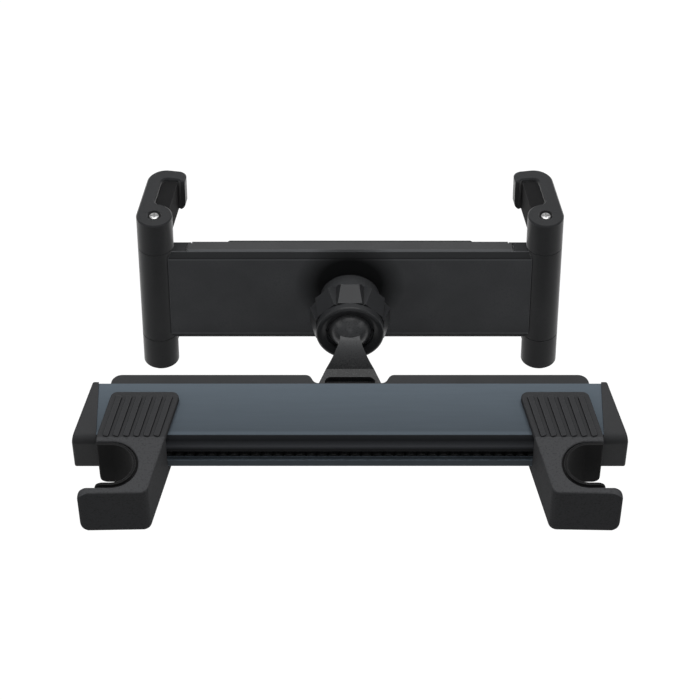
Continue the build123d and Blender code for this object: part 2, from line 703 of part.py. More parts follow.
# Back cover of the clamp, with the slit collet that grips the ball
with BuildPart() as back_cover:
    with BuildSketch(side_plane):
        with BuildLine():
            Polyline(
                (PANEL_DISTANCE, -panel_height / 2),
                (PANEL_DISTANCE, panel_height / 2),
                (PANEL_DISTANCE + BEVEL_DEPTH, BODY_HEIGHT / 2),
                (cavity_back, BODY_HEIGHT / 2),
                (cavity_back, -BODY_HEIGHT / 2),
                (PANEL_DISTANCE + BEVEL_DEPTH, -BODY_HEIGHT / 2),
                close=True,
            )
        make_face()
    extrude(amount=body_length / 2, both=True)
    with BuildSketch(side_plane):
        with BuildLine():
            Polyline(
                (PANEL_DISTANCE, -panel_height / 2),
                (PANEL_DISTANCE, panel_height / 2),
                (PANEL_DISTANCE + BEVEL_DEPTH, BODY_HEIGHT / 2),
                (panel_inner, BODY_HEIGHT / 2),
                (panel_inner, -BODY_HEIGHT / 2),
                (PANEL_DISTANCE + BEVEL_DEPTH, -BODY_HEIGHT / 2),
                close=True,
            )
        make_face()
    extrude(amount=panel_length / 2, both=True)
    with BuildSketch(plan_plane):
        with Locations((barrel_x, barrel_depth), (-barrel_x, barrel_depth)):
            Circle(BARREL_RADIUS + SLIDE_GAP)
    extrude(amount=BODY_HEIGHT, both=True, mode=Mode.SUBTRACT)
    with BuildSketch(plan_plane):
        with BuildLine():
            Polyline(
                (0, PANEL_DISTANCE),
                (COLLET_RADIUS, PANEL_DISTANCE),
                (COLLET_RADIUS, COLLET_TAPER),
                (COLLET_TIP_RADIUS, -COLLET_REACH),
                (0, -COLLET_REACH),
                close=True,
            )
        make_face()
    revolve(axis=socket_axis)
    with Locations(ball):
        Sphere(grip_radius, mode=Mode.SUBTRACT)
    with BuildSketch(plan_plane):
        with BuildLine():
            CenterArc((0, 0), seat_radius, 90 - SEAT_SPREAD, SEAT_SPREAD)
            Polyline((0, seat_radius), (0, seat_lip), (seat_radius * sin(radians(SEAT_SPREAD)), seat_lip))
        make_face()
    revolve(axis=socket_axis, mode=Mode.SUBTRACT)
    with BuildSketch(face_plane.offset(-COLLET_SLIT_DEPTH)):
        with PolarLocations(0, COLLET_SLITS):
            Rectangle(2 * COLLET_RADIUS, COLLET_SLIT, align=(Align.MIN, Align.CENTER))
    extrude(amount=2 * COLLET_SLIT_DEPTH, mode=Mode.SUBTRACT)
    with BuildSketch(face_plane.offset(-cavity_back)):
        with Locations(*body_screws):
            Circle(BODY_BOSS_RADIUS)
    extrude(amount=-CAVITY_DEPTH)
    with Locations(face_plane.offset(-cavity_front)):
        with Locations(*body_screws):
            Cylinder(SCREW_RADIUS + PIN_PLAY, 2 * SCREW_BITE + 2 * PIN_PLAY, mode=Mode.SUBTRACT)

# Lock nut: a tapered body with eight flats, grooves between them, a flared ring in front and a stepped bore
front_taper = degrees(atan((NUT_FLATS / 2 - NUT_RING_RADIUS) / (NUT_BELLY + nut_shoulder)))
groove_root = NUT_RING_RADIUS + PIN_PLAY
groove_slope = NUT_GROOVE / (nut_corner - groove_root)
with BuildPart() as lock_nut:
    with BuildSketch(face_plane.offset(-NUT_BELLY)):
        RegularPolygon(NUT_FLATS / 2, NUT_LOBES, major_radius=False, rotation=180 / NUT_LOBES)
    extrude(amount=NUT_BELLY + nut_shoulder, taper=front_taper)
    with BuildSketch(face_plane.offset(-NUT_BELLY)):
        RegularPolygon(NUT_FLATS / 2, NUT_LOBES, major_radius=False, rotation=180 / NUT_LOBES)
    extrude(amount=NUT_BELLY - NUT_BACK, taper=NUT_BACK_TAPER)
    with BuildSketch(face_plane):
        Circle(NUT_RING_RADIUS)
    extrude(amount=nut_reach)
    fillet(lock_nut.faces().sort_by(socket_axis)[0].edges(), NUT_RING_EDGE)
    with BuildSketch(face_plane.offset(-NUT_BACK)):
        with PolarLocations(0, NUT_LOBES, start_angle=180 / NUT_LOBES):
            Polygon(
                (groove_root, 0),
                (nut_corner + NUT_LIP, -groove_slope * (nut_corner + NUT_LIP - groove_root)),
                (nut_corner + NUT_LIP, groove_slope * (nut_corner + NUT_LIP - groove_root)),
                align=None,
            )
    extrude(amount=NUT_BACK + nut_reach, mode=Mode.SUBTRACT)
    with BuildSketch(plan_plane):
        with BuildLine():
            Polyline(
                (0, NUT_BACK),
                (COLLET_RADIUS + BALL_PLAY, NUT_BACK),
                (COLLET_RADIUS + BALL_PLAY, COLLET_TAPER),
                (COLLET_TIP_RADIUS + BALL_PLAY, -COLLET_REACH),
                (COLLET_TIP_RADIUS + BALL_PLAY, -COLLET_REACH - SLIDE_GAP),
                (NUT_OPENING_RADIUS, -COLLET_REACH - SLIDE_GAP),
                (NUT_OPENING_RADIUS, -nut_throat),
                (NUT_MOUTH_RADIUS, -nut_reach),
                (0, -nut_reach),
                close=True,
            )
        make_face()
    revolve(axis=socket_axis, mode=Mode.SUBTRACT)

# Front cover of the clamp, a tray for the arms
lug_bottom = bar_crown + SLIDE_GAP
with BuildPart() as front_cover:
    with BuildSketch(face_plane.offset(-body_front)):
        Rectangle(body_length, BODY_HEIGHT)
    extrude(amount=body_front - cavity_back)
    with BuildSketch(face_plane.offset(-body_front)):
        with Locations((body_length / 2, 0), (-body_length / 2, 0)):
            Rectangle(2 * LAP_REACH, BODY_HEIGHT)
    extrude(amount=LAP_WALL + SLIDE_GAP, mode=Mode.SUBTRACT)
    with BuildSketch(face_plane.offset(-cavity_front)):
        Rectangle(2 * body_length, 2 * cavity_half_height)
    extrude(amount=CAVITY_DEPTH, mode=Mode.SUBTRACT)
    with BuildSketch(face_plane.offset(-cavity_front)):
        Circle(AXLE_RADIUS)
        for way in (1, -1):
            with Locations((way * SPRING_ANCHOR, way * (lug_bottom + cavity_half_height) / 2)):
                Rectangle(SPRING_LUG, cavity_half_height - lug_bottom)
    extrude(amount=CAVITY_DEPTH)
    with Locations(face_plane.offset(-spring_depth)):
        with Locations((SPRING_ANCHOR, spring_height), (-SPRING_ANCHOR, -spring_height)):
            Cylinder(SPRING_WIRE + PIN_PLAY, 2 * SPRING_LUG, rotation=(0, 90, 0), mode=Mode.SUBTRACT)
    with Locations(face_plane.offset(-body_front)):
        with Locations(*body_screws):
            Cylinder(SCREW_RADIUS + PIN_PLAY, 4 * FRONT_WALL, mode=Mode.SUBTRACT)
            Cylinder(SCREW_HEAD_RADIUS + PIN_PLAY, 2 * BODY_HEAD_HEIGHT, mode=Mode.SUBTRACT)

# Screws of the clamp body, under the front pad
with BuildPart() as cover_screws:
    with Locations(face_plane.offset(-body_front)):
        with Locations(*body_screws):
            Cylinder(SCREW_HEAD_RADIUS, BODY_HEAD_HEIGHT, align=STANDING)
            Cylinder(SCREW_RADIUS, FRONT_WALL + SCREW_BITE, align=STANDING)

# Soft pad on the front of the clamp body
with BuildPart() as front_pad:
    with BuildSketch(face_plane.offset(-body_front)):
        RectangleRounded(FRONT_PAD_LENGTH, BODY_HEIGHT - 2 * FRONT_PAD_MARGIN, FRONT_PAD_WALL)
    extrude(amount=-FRONT_PAD_WALL)

# Left arm: hinge barrel, shoulder, root and the bar with the rack, which runs above the pinion
flank = tan(radians(PRESSURE_ANGLE))
rack_last = int((arm_bar_end - gear_pitch / 2) / gear_pitch)
rack_places = [(n * gear_pitch, gear_pitch_radius) for n in range(-RACK_SPARE_TEETH, rack_last + 1)]
shoulder_inner = body_length / 2 + SLIDE_GAP
root_half_height = cavity_half_height - SLIDE_GAP
with BuildPart() as left_arm:
    with BuildSketch(plan_plane):
        with Locations((barrel_x, barrel_depth)):
            Circle(BARREL_RADIUS)
    extrude(amount=BODY_HEIGHT / 2, both=True)
    with BuildSketch(face_plane.offset(-body_front)):
        with Locations((-shoulder_inner, 0)):
            Rectangle(
                BARREL_SPACING / 2 - shoulder_inner,
                BODY_HEIGHT - 2 * SLIDE_GAP,
                align=(Align.MAX, Align.CENTER),
            )
    extrude(amount=body_front - panel_inner - SLIDE_GAP)
    with BuildSketch(face_plane.offset(-body_front)):
        with Locations((-shoulder_inner, 0)):
            Rectangle(LAP_REACH, BODY_HEIGHT - 2 * SLIDE_GAP, align=(Align.MIN, Align.CENTER))
    extrude(amount=LAP_WALL)
    with BuildSketch(face_plane.offset(-arm_front)):
        with Locations((-arm_root, 0)):
            Rectangle(
                BARREL_SPACING / 2 - arm_root,
                2 * root_half_height,
                align=(Align.MAX, Align.CENTER),
            )
        with Locations((-arm_root, rack_root)):
            Rectangle(arm_root + arm_bar_end, bar_crown - rack_root, align=(Align.MIN, Align.MIN))
        with Locations(*rack_places):
            Polygon(
                (-tooth_half - GEAR_DEDENDUM * GEAR_MODULE * flank, GEAR_DEDENDUM * GEAR_MODULE),
                (-tooth_half + GEAR_ADDENDUM * GEAR_MODULE * flank, -GEAR_ADDENDUM * GEAR_MODULE),
                (tooth_half - GEAR_ADDENDUM * GEAR_MODULE * flank, -GEAR_ADDENDUM * GEAR_MODULE),
                (tooth_half + GEAR_DEDENDUM * GEAR_MODULE * flank, GEAR_DEDENDUM * GEAR_MODULE),
                align=None,
            )
        with Locations((-spring_lug, bar_crown)):
            Rectangle(SPRING_LUG, root_half_height - bar_crown, align=(Align.CENTER, Align.MIN))
    extrude(amount=arm_front - arm_back)
    with Locations(face_plane.offset(-spring_depth)):
        with Locations((-spring_lug, spring_height)):
            Cylinder(SPRING_WIRE + PIN_PLAY, 2 * SPRING_LUG, rotation=(0, 90, 0), mode=Mode.SUBTRACT)
    with Locations(plan_plane):
        barrel_ends = [(barrel_x, barrel_depth, BODY_HEIGHT / 2), (barrel_x, barrel_depth, -BODY_HEIGHT / 2)]
        with Locations(*barrel_ends):
            Cylinder(HINGE_SCREW_RADIUS + PIN_PLAY, 2 * HINGE_BITE + 2 * PIN_PLAY, mode=Mode.SUBTRACT)

# The right arm is the left one turned half round about the pinion
with BuildPart() as right_arm:
    add(left_arm.part.rotate(socket_axis, 180))

# Pinion that keeps the arms in step, with a gap between its teeth facing up the clamp
flank_step = (gear_tip_radius - gear_base_radius) / FLANK_STEPS
flank_radii = [gear_base_radius + flank_step * step for step in range(FLANK_STEPS + 1)]
right_flank = [flank_point(radius) for radius in flank_radii]
left_flank = [(-x, y) for x, y in right_flank]
with BuildPart() as pinion:
    with BuildSketch(face_plane.offset(-arm_front)):
        Circle(gear_root_radius)
        with PolarLocations(0, GEAR_TEETH, start_angle=180 / GEAR_TEETH):
            Polygon(
                (left_flank[0][0], 0),
                *left_flank,
                *reversed(right_flank),
                (right_flank[0][0], 0),
                align=None,
            )
        Circle(AXLE_RADIUS + PIN_PLAY, mode=Mode.SUBTRACT)
    extrude(amount=arm_front - arm_back)

# Return springs, drawn as close-wound cylinders with headed ends that pass through the lugs
lug_half = SPRING_LUG / 2
coil_start = -spring_lug + lug_half + SLIDE_GAP
coil_end = SPRING_ANCHOR - lug_half - SLIDE_GAP
coil_middle = (coil_start + coil_end) / 2
head_middle = (coil_end - coil_start) / 2 + SPRING_LUG + 2 * SLIDE_GAP
with BuildPart() as upper_spring:
    with Locations(face_plane.offset(-spring_depth)):
        with Locations((coil_middle, spring_height)):
            Cylinder(SPRING_RADIUS, coil_end - coil_start, rotation=(0, 90, 0))
            Cylinder(SPRING_WIRE, 2 * head_middle, rotation=(0, 90, 0))
        spring_heads = [(coil_middle + end, spring_height) for end in (-head_middle, head_middle)]
        with Locations(*spring_heads):
            Cylinder(SPRING_HEAD_RADIUS, SLIDE_GAP, rotation=(0, 90, 0))

with BuildPart() as lower_spring:
    add(upper_spring.part.rotate(socket_axis, 180))

# Upper left claw, leaning in over the edge of what it holds
claw_lean = radians(CLAW_LEAN)
inward = Vector(1, 0, 0) * cos(claw_lean) - depth_dir * sin(claw_lean)
hinge_point = plan_plane.from_local_coords(Vector(barrel_x, barrel_depth, claw_bottom))
claw_plane = Plane(origin=hinge_point, x_dir=inward, z_dir=up_dir)
claw_inner = CLAW_WALL - BARREL_RADIUS
lip_inner = CLAW_REACH - CLAW_LIP_WALL
catch_inner = CLAW_LIP_REACH - CLAW_CATCH_WIDTH
knuckle_end = sqrt(BARREL_RADIUS**2 - claw_inner**2)
reach_dir = depth_dir * cos(claw_lean) + Vector(1, 0, 0) * sin(claw_lean)
lip_start = hinge_point + reach_dir * (lip_inner - CLAW_CATCH - SLIDE_GAP)
with BuildPart() as upper_left_claw:
    with BuildSketch(claw_plane) as claw_plan:
        with BuildLine():
            Polyline(
                (-BARREL_RADIUS, 0),
                (-BARREL_RADIUS, CLAW_REACH),
                (CLAW_LIP_REACH, CLAW_REACH),
                (CLAW_LIP_REACH, lip_inner - CLAW_CATCH),
                (catch_inner, lip_inner - CLAW_CATCH),
                (catch_inner - CLAW_CATCH_SLOPE, lip_inner),
                (claw_inner, lip_inner),
                (claw_inner, 0),
                close=True,
            )
        make_face()
        for corner, radius in (
            ((-BARREL_RADIUS, CLAW_REACH), CLAW_CORNER),
            ((CLAW_LIP_REACH, CLAW_REACH), CLAW_TIP_CORNER),
            ((claw_inner, lip_inner), CLAW_POCKET_CORNER),
        ):
            fillet(claw_plan.vertices().sort_by_distance(corner)[0], radius)
        Circle(BARREL_RADIUS)
        fillet(claw_plan.vertices().sort_by_distance((claw_inner, knuckle_end))[0], CLAW_KNUCKLE_ROUND)
    extrude(amount=claw_height)
    chamfer(upper_left_claw.faces().sort_by(Axis(ball, up_dir))[-1].edges(), CLAW_EDGE)
    with BuildSketch(Plane(origin=lip_start, x_dir=inward, z_dir=-reach_dir)):
        with Locations((CLAW_LIP_REACH, 0)):
            Rectangle(CLAW_LIP_ROUND, CLAW_LIP_ROUND, align=(Align.MAX, Align.MIN))
        with Locations((CLAW_LIP_REACH - CLAW_LIP_ROUND, CLAW_LIP_ROUND)):
            Circle(CLAW_LIP_ROUND, mode=Mode.SUBTRACT)
    extrude(amount=-CLAW_REACH, mode=Mode.SUBTRACT)
    with Locations(claw_plane.offset(claw_height)):
        Cylinder(HINGE_WELL_RADIUS, 2 * HINGE_HEAD_DEPTH, mode=Mode.SUBTRACT)
        Cylinder(HINGE_SCREW_RADIUS + PIN_PLAY, 4 * claw_height, mode=Mode.SUBTRACT)

# Soft pad of the upper left claw
with BuildPart() as upper_left_claw_pad:
    with BuildSketch(claw_plane) as pad_plan:
        with Locations((claw_inner, lip_inner)):
            Rectangle(CLAW_PAD_WALL, lip_inner, align=(Align.MIN, Align.MAX))
        Circle(BARREL_RADIUS + PIN_PLAY, mode=Mode.SUBTRACT)
        for corner, radius in (
            ((claw_inner, lip_inner), CLAW_POCKET_CORNER + SLIDE_GAP),
            ((claw_inner, knuckle_end), CLAW_KNUCKLE_ROUND + SLIDE_GAP),
        ):
            fillet(pad_plan.vertices().sort_by_distance(corner)[0], radius)
    extrude(amount=claw_height - CLAW_PAD_DROP)

# Hinge screws of the left arm
screw_shank = claw_height - HINGE_HEAD_DEPTH + 2 * SLIDE_GAP + HINGE_BITE
with BuildPart() as left_hinge_screws:
    with Locations(claw_plane.offset(claw_height - HINGE_HEAD_DEPTH + SLIDE_GAP)):
        Cylinder(HINGE_HEAD_RADIUS, HINGE_HEAD_HEIGHT, align=STANDING)
        Cylinder(HINGE_SCREW_RADIUS, screw_shank, align=HANGING)
    mirror(about=plan_plane)

with BuildPart() as right_hinge_screws:
    mirror(left_hinge_screws.part, about=Plane.YZ)

with BuildPart() as lower_left_claw:
    mirror(upper_left_claw.part, about=plan_plane)

with BuildPart() as upper_right_claw:
    mirror(upper_left_claw.part, about=Plane.YZ)

with BuildPart() as lower_right_claw:
    mirror(lower_left_claw.part, about=Plane.YZ)

with BuildPart() as lower_left_claw_pad:
    mirror(upper_left_claw_pad.part, about=plan_plane)

with BuildPart() as upper_right_claw_pad:
    mirror(upper_left_claw_pad.part, about=Plane.YZ)

with BuildPart() as lower_right_claw_pad:
    mirror(lower_left_claw_pad.part, about=Plane.YZ)

pieces = {
    "top_plate": top_plate,
    "rail_body": rail_body,
    "tooth_rack": tooth_rack,
    "rear_cover": rear_cover,
    "left_end_cap": left_end_cap,
    "right_end_cap": right_end_cap,
    "cap_screws": cap_screws,
    "left_hook": left_hook,
    "right_hook": right_hook,
    "left_post_liner": left_post_liner,
    "right_post_liner": right_post_liner,
    "left_detent_spring": left_detent_spring,
    "right_detent_spring": right_detent_spring,
    "left_detent_screw": left_detent_screw,
    "right_detent_screw": right_detent_screw,
    "ball_stud": ball_stud,
    "neck_screws": neck_screws,
    "friction_pad": friction_pad,
    "lock_nut": lock_nut,
    "back_cover": back_cover,
    "front_cover": front_cover,
    "cover_screws": cover_screws,
    "front_pad": front_pad,
    "left_arm": left_arm,
    "right_arm": right_arm,
    "pinion": pinion,
    "upper_spring": upper_spring,
    "lower_spring": lower_spring,
    "left_hinge_screws": left_hinge_screws,
    "right_hinge_screws": right_hinge_screws,
    "upper_left_claw": upper_left_claw,
    "lower_left_claw": lower_left_claw,
    "upper_right_claw": upper_right_claw,
    "lower_right_claw": lower_right_claw,
    "upper_left_claw_pad": upper_left_claw_pad,
    "lower_left_claw_pad": lower_left_claw_pad,
    "upper_right_claw_pad": upper_right_claw_pad,
    "lower_right_claw_pad": lower_right_claw_pad,
}
for name, piece in pieces.items():
    piece.part.label = name
    export_step(piece.part, f"parts/{name}.step")
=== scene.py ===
"""Dresses the headrest tablet mount with finishes and fine pieces, and sets up the studio and the camera."""

import logging
from collections.abc import Iterable, Sequence
from dataclasses import dataclass
from enum import Enum
from math import cos, pi, radians, sin, tau

import bmesh
import bpy
from mathutils import Matrix, Vector


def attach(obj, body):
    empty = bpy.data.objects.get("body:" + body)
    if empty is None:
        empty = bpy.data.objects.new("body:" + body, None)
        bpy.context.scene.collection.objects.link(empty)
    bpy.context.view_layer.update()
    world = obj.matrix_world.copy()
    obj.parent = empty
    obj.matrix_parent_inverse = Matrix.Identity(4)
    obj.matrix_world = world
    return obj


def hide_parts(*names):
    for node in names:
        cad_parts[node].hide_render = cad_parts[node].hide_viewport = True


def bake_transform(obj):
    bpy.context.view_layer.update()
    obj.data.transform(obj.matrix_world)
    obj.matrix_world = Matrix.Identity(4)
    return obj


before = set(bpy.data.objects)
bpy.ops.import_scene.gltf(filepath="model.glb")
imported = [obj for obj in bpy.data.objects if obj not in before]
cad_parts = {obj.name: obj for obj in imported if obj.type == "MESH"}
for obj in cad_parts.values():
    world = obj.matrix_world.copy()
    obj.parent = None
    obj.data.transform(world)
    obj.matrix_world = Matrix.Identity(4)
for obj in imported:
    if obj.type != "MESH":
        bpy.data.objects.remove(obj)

log = logging.getLogger("headrest_mount")

MM = 0.001
Triple = tuple[float, float, float]
Colour = Triple
Socket = bpy.types.NodeSocket


class Side(Enum):
    """A side of the mount, with its sign along X."""

    LEFT = -1
    RIGHT = 1

    @property
    def word(self) -> str:
        """The side's name as the nodes spell it."""
        return self.name.lower()


class Level(Enum):
    """The upper or lower end of an arm's barrel, with its sign up the clamp."""

    UPPER = 1
    LOWER = -1

    @property
    def word(self) -> str:
        """The level's name as the nodes spell it."""
        return self.name.lower()


class EdgeRound(Enum):
    """How far a moulded or pressed edge is rounded off, in millimetres."""

    FINE = 0.12
    MOULDED = 0.3


def scaled(colour: Colour, factor: float) -> Colour:
    """Gives a colour made lighter or darker by a factor."""
    red, green, blue = colour
    return red * factor, green * factor, blue * factor


class Shader:
    """A material's node tree with one principled shader.

    Noise keeps near its middle, between NOISE_LOW and NOISE_HIGH. On an edge, the cosine between the rounded
    normal and the surface's own falls from EDGE_START to EDGE_FULL. In a crease, the open share of the
    surroundings falls from CREASE_START to CREASE_FULL.
    """

    NOISE_LOW = 0.3
    NOISE_HIGH = 0.7
    EDGE_START = 0.98
    EDGE_FULL = 0.8
    EDGE_SAMPLES = 6
    CREASE_START = 0.9
    CREASE_FULL = 0.55
    CREASE_SAMPLES = 8

    def __init__(self, name: str) -> None:
        """Starts an empty material.

        Args:
            name: The material's name.
        """
        self.material = bpy.data.materials.new(name)
        self.material.use_nodes = True
        self.tree = self.material.node_tree
        self.tree.nodes.clear()
        output = self.node("ShaderNodeOutputMaterial")
        self.surface = self.node("ShaderNodeBsdfPrincipled")
        self.link(self.surface.outputs["BSDF"], output.inputs["Surface"])
        self.place = self.node("ShaderNodeTexCoord").outputs["Object"]

    def node(self, kind: str, **values: object) -> bpy.types.Node:
        """Adds a node.

        Args:
            kind: The node's type.
            values: Attributes of the node.

        Returns:
            The new node.
        """
        made = self.tree.nodes.new(kind)
        for key, value in values.items():
            setattr(made, key, value)
        return made

    def link(self, start: Socket, end: Socket) -> None:
        """Joins an output to an input."""
        self.tree.links.new(start, end)

    def set(self, **values: object) -> None:
        """Sets constant inputs of the principled shader, with spaces written as underscores."""
        for key, value in values.items():
            self.surface.inputs[key.replace("_", " ")].default_value = value

    def feed(self, **values: Socket) -> None:
        """Links values to inputs of the principled shader, with spaces written as underscores."""
        for key, value in values.items():
            self.link(value, self.surface.inputs[key.replace("_", " ")])

    def noise(self, size: float, detail: float = 3.0, stretch: Triple = (1.0, 1.0, 1.0)) -> Socket:
        """Adds noise whose features have a given size.

        Args:
            size: Size of a feature in metres.
            detail: Octaves of finer noise.
            stretch: Scale of the noise along X, Y and Z.

        Returns:
            The noise's value.
        """
        spread = self.node("ShaderNodeMapping")
        spread.inputs["Scale"].default_value = stretch
        self.link(self.place, spread.inputs["Vector"])
        made = self.node("ShaderNodeTexNoise")
        made.inputs["Scale"].default_value = 1.0 / size
        made.inputs["Detail"].default_value = detail
        self.link(spread.outputs["Vector"], made.inputs["Vector"])
        return made.outputs["Fac"]

    def spread(self, value: Socket, start: float, end: float, low: float, high: float) -> Socket:
        """Turns a value into another one that changes between two marks.

        Args:
            value: The value.
            start: Mark up to which the result is low.
            end: Mark from which the result is high.
            low: The result before the start.
            high: The result after the end.

        Returns:
            The result.
        """
        made = self.node("ShaderNodeMapRange")
        for key, number in (("From Min", start), ("From Max", end), ("To Min", low), ("To Max", high)):
            made.inputs[key].default_value = number
        self.link(value, made.inputs["Value"])
        return made.outputs["Result"]

    def remap(self, value: Socket, low: float, high: float) -> Socket:
        """Spreads a noise value, which keeps near its middle, over a range."""
        return self.spread(value, self.NOISE_LOW, self.NOISE_HIGH, low, high)

    def along(self, axis: str, start: float, end: float, low: float, high: float) -> Socket:
        """Gives a value that changes along one axis of the piece.

        Args:
            axis: X, Y or Z.
            start: Place in metres up to which the value is low.
            end: Place in metres from which the value is high.
            low: The value before the start.
            high: The value after the end.

        Returns:
            The value.
        """
        parts = self.node("ShaderNodeSeparateXYZ")
        self.link(self.place, parts.inputs["Vector"])
        return self.spread(parts.outputs[axis], start, end, low, high)

    def measure(self, operation: str, other: Vector) -> Socket:
        """Measures the surface's place against a vector.

        Args:
            operation: DOT_PRODUCT for a height along a direction, DISTANCE for the way from a point.
            other: The direction or the point.

        Returns:
            The measure in metres.
        """
        made = self.node("ShaderNodeVectorMath", operation=operation)
        self.link(self.place, made.inputs[0])
        made.inputs[1].default_value = other
        return made.outputs["Value"]

    def combine(self, operation: str, *values: Socket | float) -> Socket:
        """Combines values by arithmetic.

        Args:
            operation: Name of the operation.
            values: Sockets or numbers.

        Returns:
            The result.
        """
        made = self.node("ShaderNodeMath", operation=operation)
        for place, value in enumerate(values):
            if isinstance(value, Socket):
                self.link(value, made.inputs[place])
            else:
                made.inputs[place].default_value = value
        return made.outputs["Value"]

    def edges(self, reach: float) -> Socket:
        """Gives a value that rises from 0 to 1 on the piece's edges.

        Args:
            reach: How far from an edge the value rises, in metres.

        Returns:
            The value.
        """
        eased = self.node("ShaderNodeBevel", samples=self.EDGE_SAMPLES)
        eased.inputs["Radius"].default_value = reach
        turn = self.node("ShaderNodeVectorMath", operation="DOT_PRODUCT")
        self.link(eased.outputs["Normal"], turn.inputs[0])
        self.link(self.node("ShaderNodeNewGeometry").outputs["Normal"], turn.inputs[1])
        return self.spread(turn.outputs["Value"], self.EDGE_START, self.EDGE_FULL, 0.0, 1.0)

    def crease(self, reach: float) -> Socket:
        """Gives a value that rises from 0 to 1 in the piece's own creases.

        Args:
            reach: How far from a crease the value rises, in metres.

        Returns:
            The value.
        """
        made = self.node("ShaderNodeAmbientOcclusion", only_local=True, samples=self.CREASE_SAMPLES)
        made.inputs["Distance"].default_value = reach
        return self.spread(made.outputs["AO"], self.CREASE_FULL, self.CREASE_START, 1.0, 0.0)

    def mix(self, below: Socket | Colour, above: Socket | Colour, share: Socket) -> Socket:
        """Lays a colour over another.

        Args:
            below: The colour beneath, plain or mixed before.
            above: The colour on top, plain or mixed before.
            share: How much of the colour on top shows.

        Returns:
            The mixed colour.
        """
        made = self.node("ShaderNodeMix", data_type="RGBA")
        for key, colour in (("A", below), ("B", above)):
            if isinstance(colour, Socket):
                self.link(colour, made.inputs[key])
            else:
                made.inputs[key].default_value = (*colour, 1.0)
        self.link(share, made.inputs["Factor"])
        return made.outputs["Result"]

    def bump(self, height: Socket, depth: float, strength: float) -> None:
        """Raises the surface by a height value.

        Args:
            height: The height, from 0 to 1.
            depth: Depth of the relief in metres.
            strength: Share of the relief that shows.
        """
        made = self.node("ShaderNodeBump")
        made.inputs["Distance"].default_value = depth
        made.inputs["Strength"].default_value = strength
        self.link(height, made.inputs["Height"])
        self.link(made.outputs["Normal"], self.surface.inputs["Normal"])


@dataclass(frozen=True)
class ClampFrame:
    """The clamp's own directions about the ball's centre, in millimetres."""

    ball: Triple = (0.0, 61.45, 12.0)
    tilt: float = 12.5

    @property
    def depth(self) -> Vector:
        """The direction away from the bar, square to the clamp's panel."""
        return Vector((0.0, cos(radians(self.tilt)), -sin(radians(self.tilt))))

    @property
    def up(self) -> Vector:
        """The direction up the clamp's panel."""
        return Vector((0.0, sin(radians(self.tilt)), cos(radians(self.tilt))))

    def point(self, x: float, depth: float, up: float) -> Vector:
        """Gives a point of the clamp in the shared frame.

        Args:
            x: Distance along the clamp in millimetres.
            depth: Distance from the ball's centre away from the bar in millimetres.
            up: Distance up the clamp in millimetres.

        Returns:
            The point in metres.
        """
        return (Vector(self.ball) + Vector((x, 0.0, 0.0)) + self.depth * depth + self.up * up) * MM


@dataclass(frozen=True)
class MouldedPlastic:
    """Black moulded plastic with a fine spark-eroded grain, edges lightened by wear and by a painted
    highlight, and creases darkened by painted shade.

    Sizes, depths and reaches are in millimetres. The wear-and-highlight and crease-shade tones are factors of
    the plastic's tone.
    """

    name: str
    tone: Colour
    roughness: float
    specular: float
    grain: float = 0.35
    grain_depth: float = 0.02
    grain_gloss: float = 0.06
    grain_show: float = 0.5
    tone_swing: float = 0.08
    mottle_size: float = 14.0
    speckle: float = 0.03
    speck_size: float = 0.7
    speck_start: float = 0.5
    speck_full: float = 0.75
    sheen: float = 0.0
    sheen_spread: float = 0.45
    wear_and_highlight: float = 1.6
    wear_size: float = 2.0
    wear_least: float = 0.4
    wear_polish: float = 0.12
    edge_reach: float = 0.35
    crease_reach: float = 0.6
    crease_shade_tone: float = 0.12

    def toned(self, factor: float) -> Colour:
        """Gives the plastic's tone made lighter or darker by a factor."""
        return scaled(self.tone, factor)

    def shade(self, shader: Shader) -> Socket:
        """Gives the share of the plastic's lighter tone, which drifts slowly over the piece."""
        return shader.remap(shader.noise(self.mottle_size * MM), 0.0, 1.0)

    def body(self, shader: Shader) -> Socket:
        """Gives the plastic's colour before wear.

        Args:
            shader: The shader that takes the nodes.

        Returns:
            The colour, mixed from a darker and a lighter tone by the shade method, with its fine dark specks.
        """
        tone_shift = shader.mix(self.toned(1.0 - self.tone_swing), self.toned(1.0 + self.tone_swing), self.shade(shader))
        dots = shader.noise(self.speck_size * MM, detail=1.0)
        specks = shader.spread(dots, self.speck_start, self.speck_full, 0.0, 1.0)
        return shader.mix(tone_shift, self.toned(1.0 - 2 * self.speckle), specks)

    def material(self) -> bpy.types.Material:
        """Builds the plastic's material.

        Returns:
            The material.
        """
        shader = Shader(self.name)
        patches = shader.remap(shader.noise(self.wear_size * MM), self.wear_least, 1.0)
        # Edges lightened in patches, partly as rubbed wear and partly as a painted highlight where rounded
        # edges catch light.
        wear_and_highlight_share = shader.combine("MULTIPLY", shader.edges(self.edge_reach * MM), patches)
        edge_lightened = shader.mix(self.body(shader), self.toned(self.wear_and_highlight), wear_and_highlight_share)
        # Painted shade: the piece's own creases, such as the feet of the hooks' ribs, are darkened.
        crease_shaded = shader.mix(edge_lightened, self.toned(self.crease_shade_tone), shader.crease(self.crease_reach * MM))
        grain = shader.noise(self.grain * MM, detail=2.0)
        rough = shader.remap(grain, self.roughness - self.grain_gloss, self.roughness + self.grain_gloss)
        polished = shader.combine("MULTIPLY_ADD", wear_and_highlight_share, -self.wear_polish, rough)
        shader.feed(Base_Color=crease_shaded, Roughness=polished)
        shader.set(Specular_IOR_Level=self.specular)
        shader.set(Sheen_Weight=self.sheen, Sheen_Roughness=self.sheen_spread)
        shader.bump(grain, self.grain_depth * MM, self.grain_show)
        return shader.material


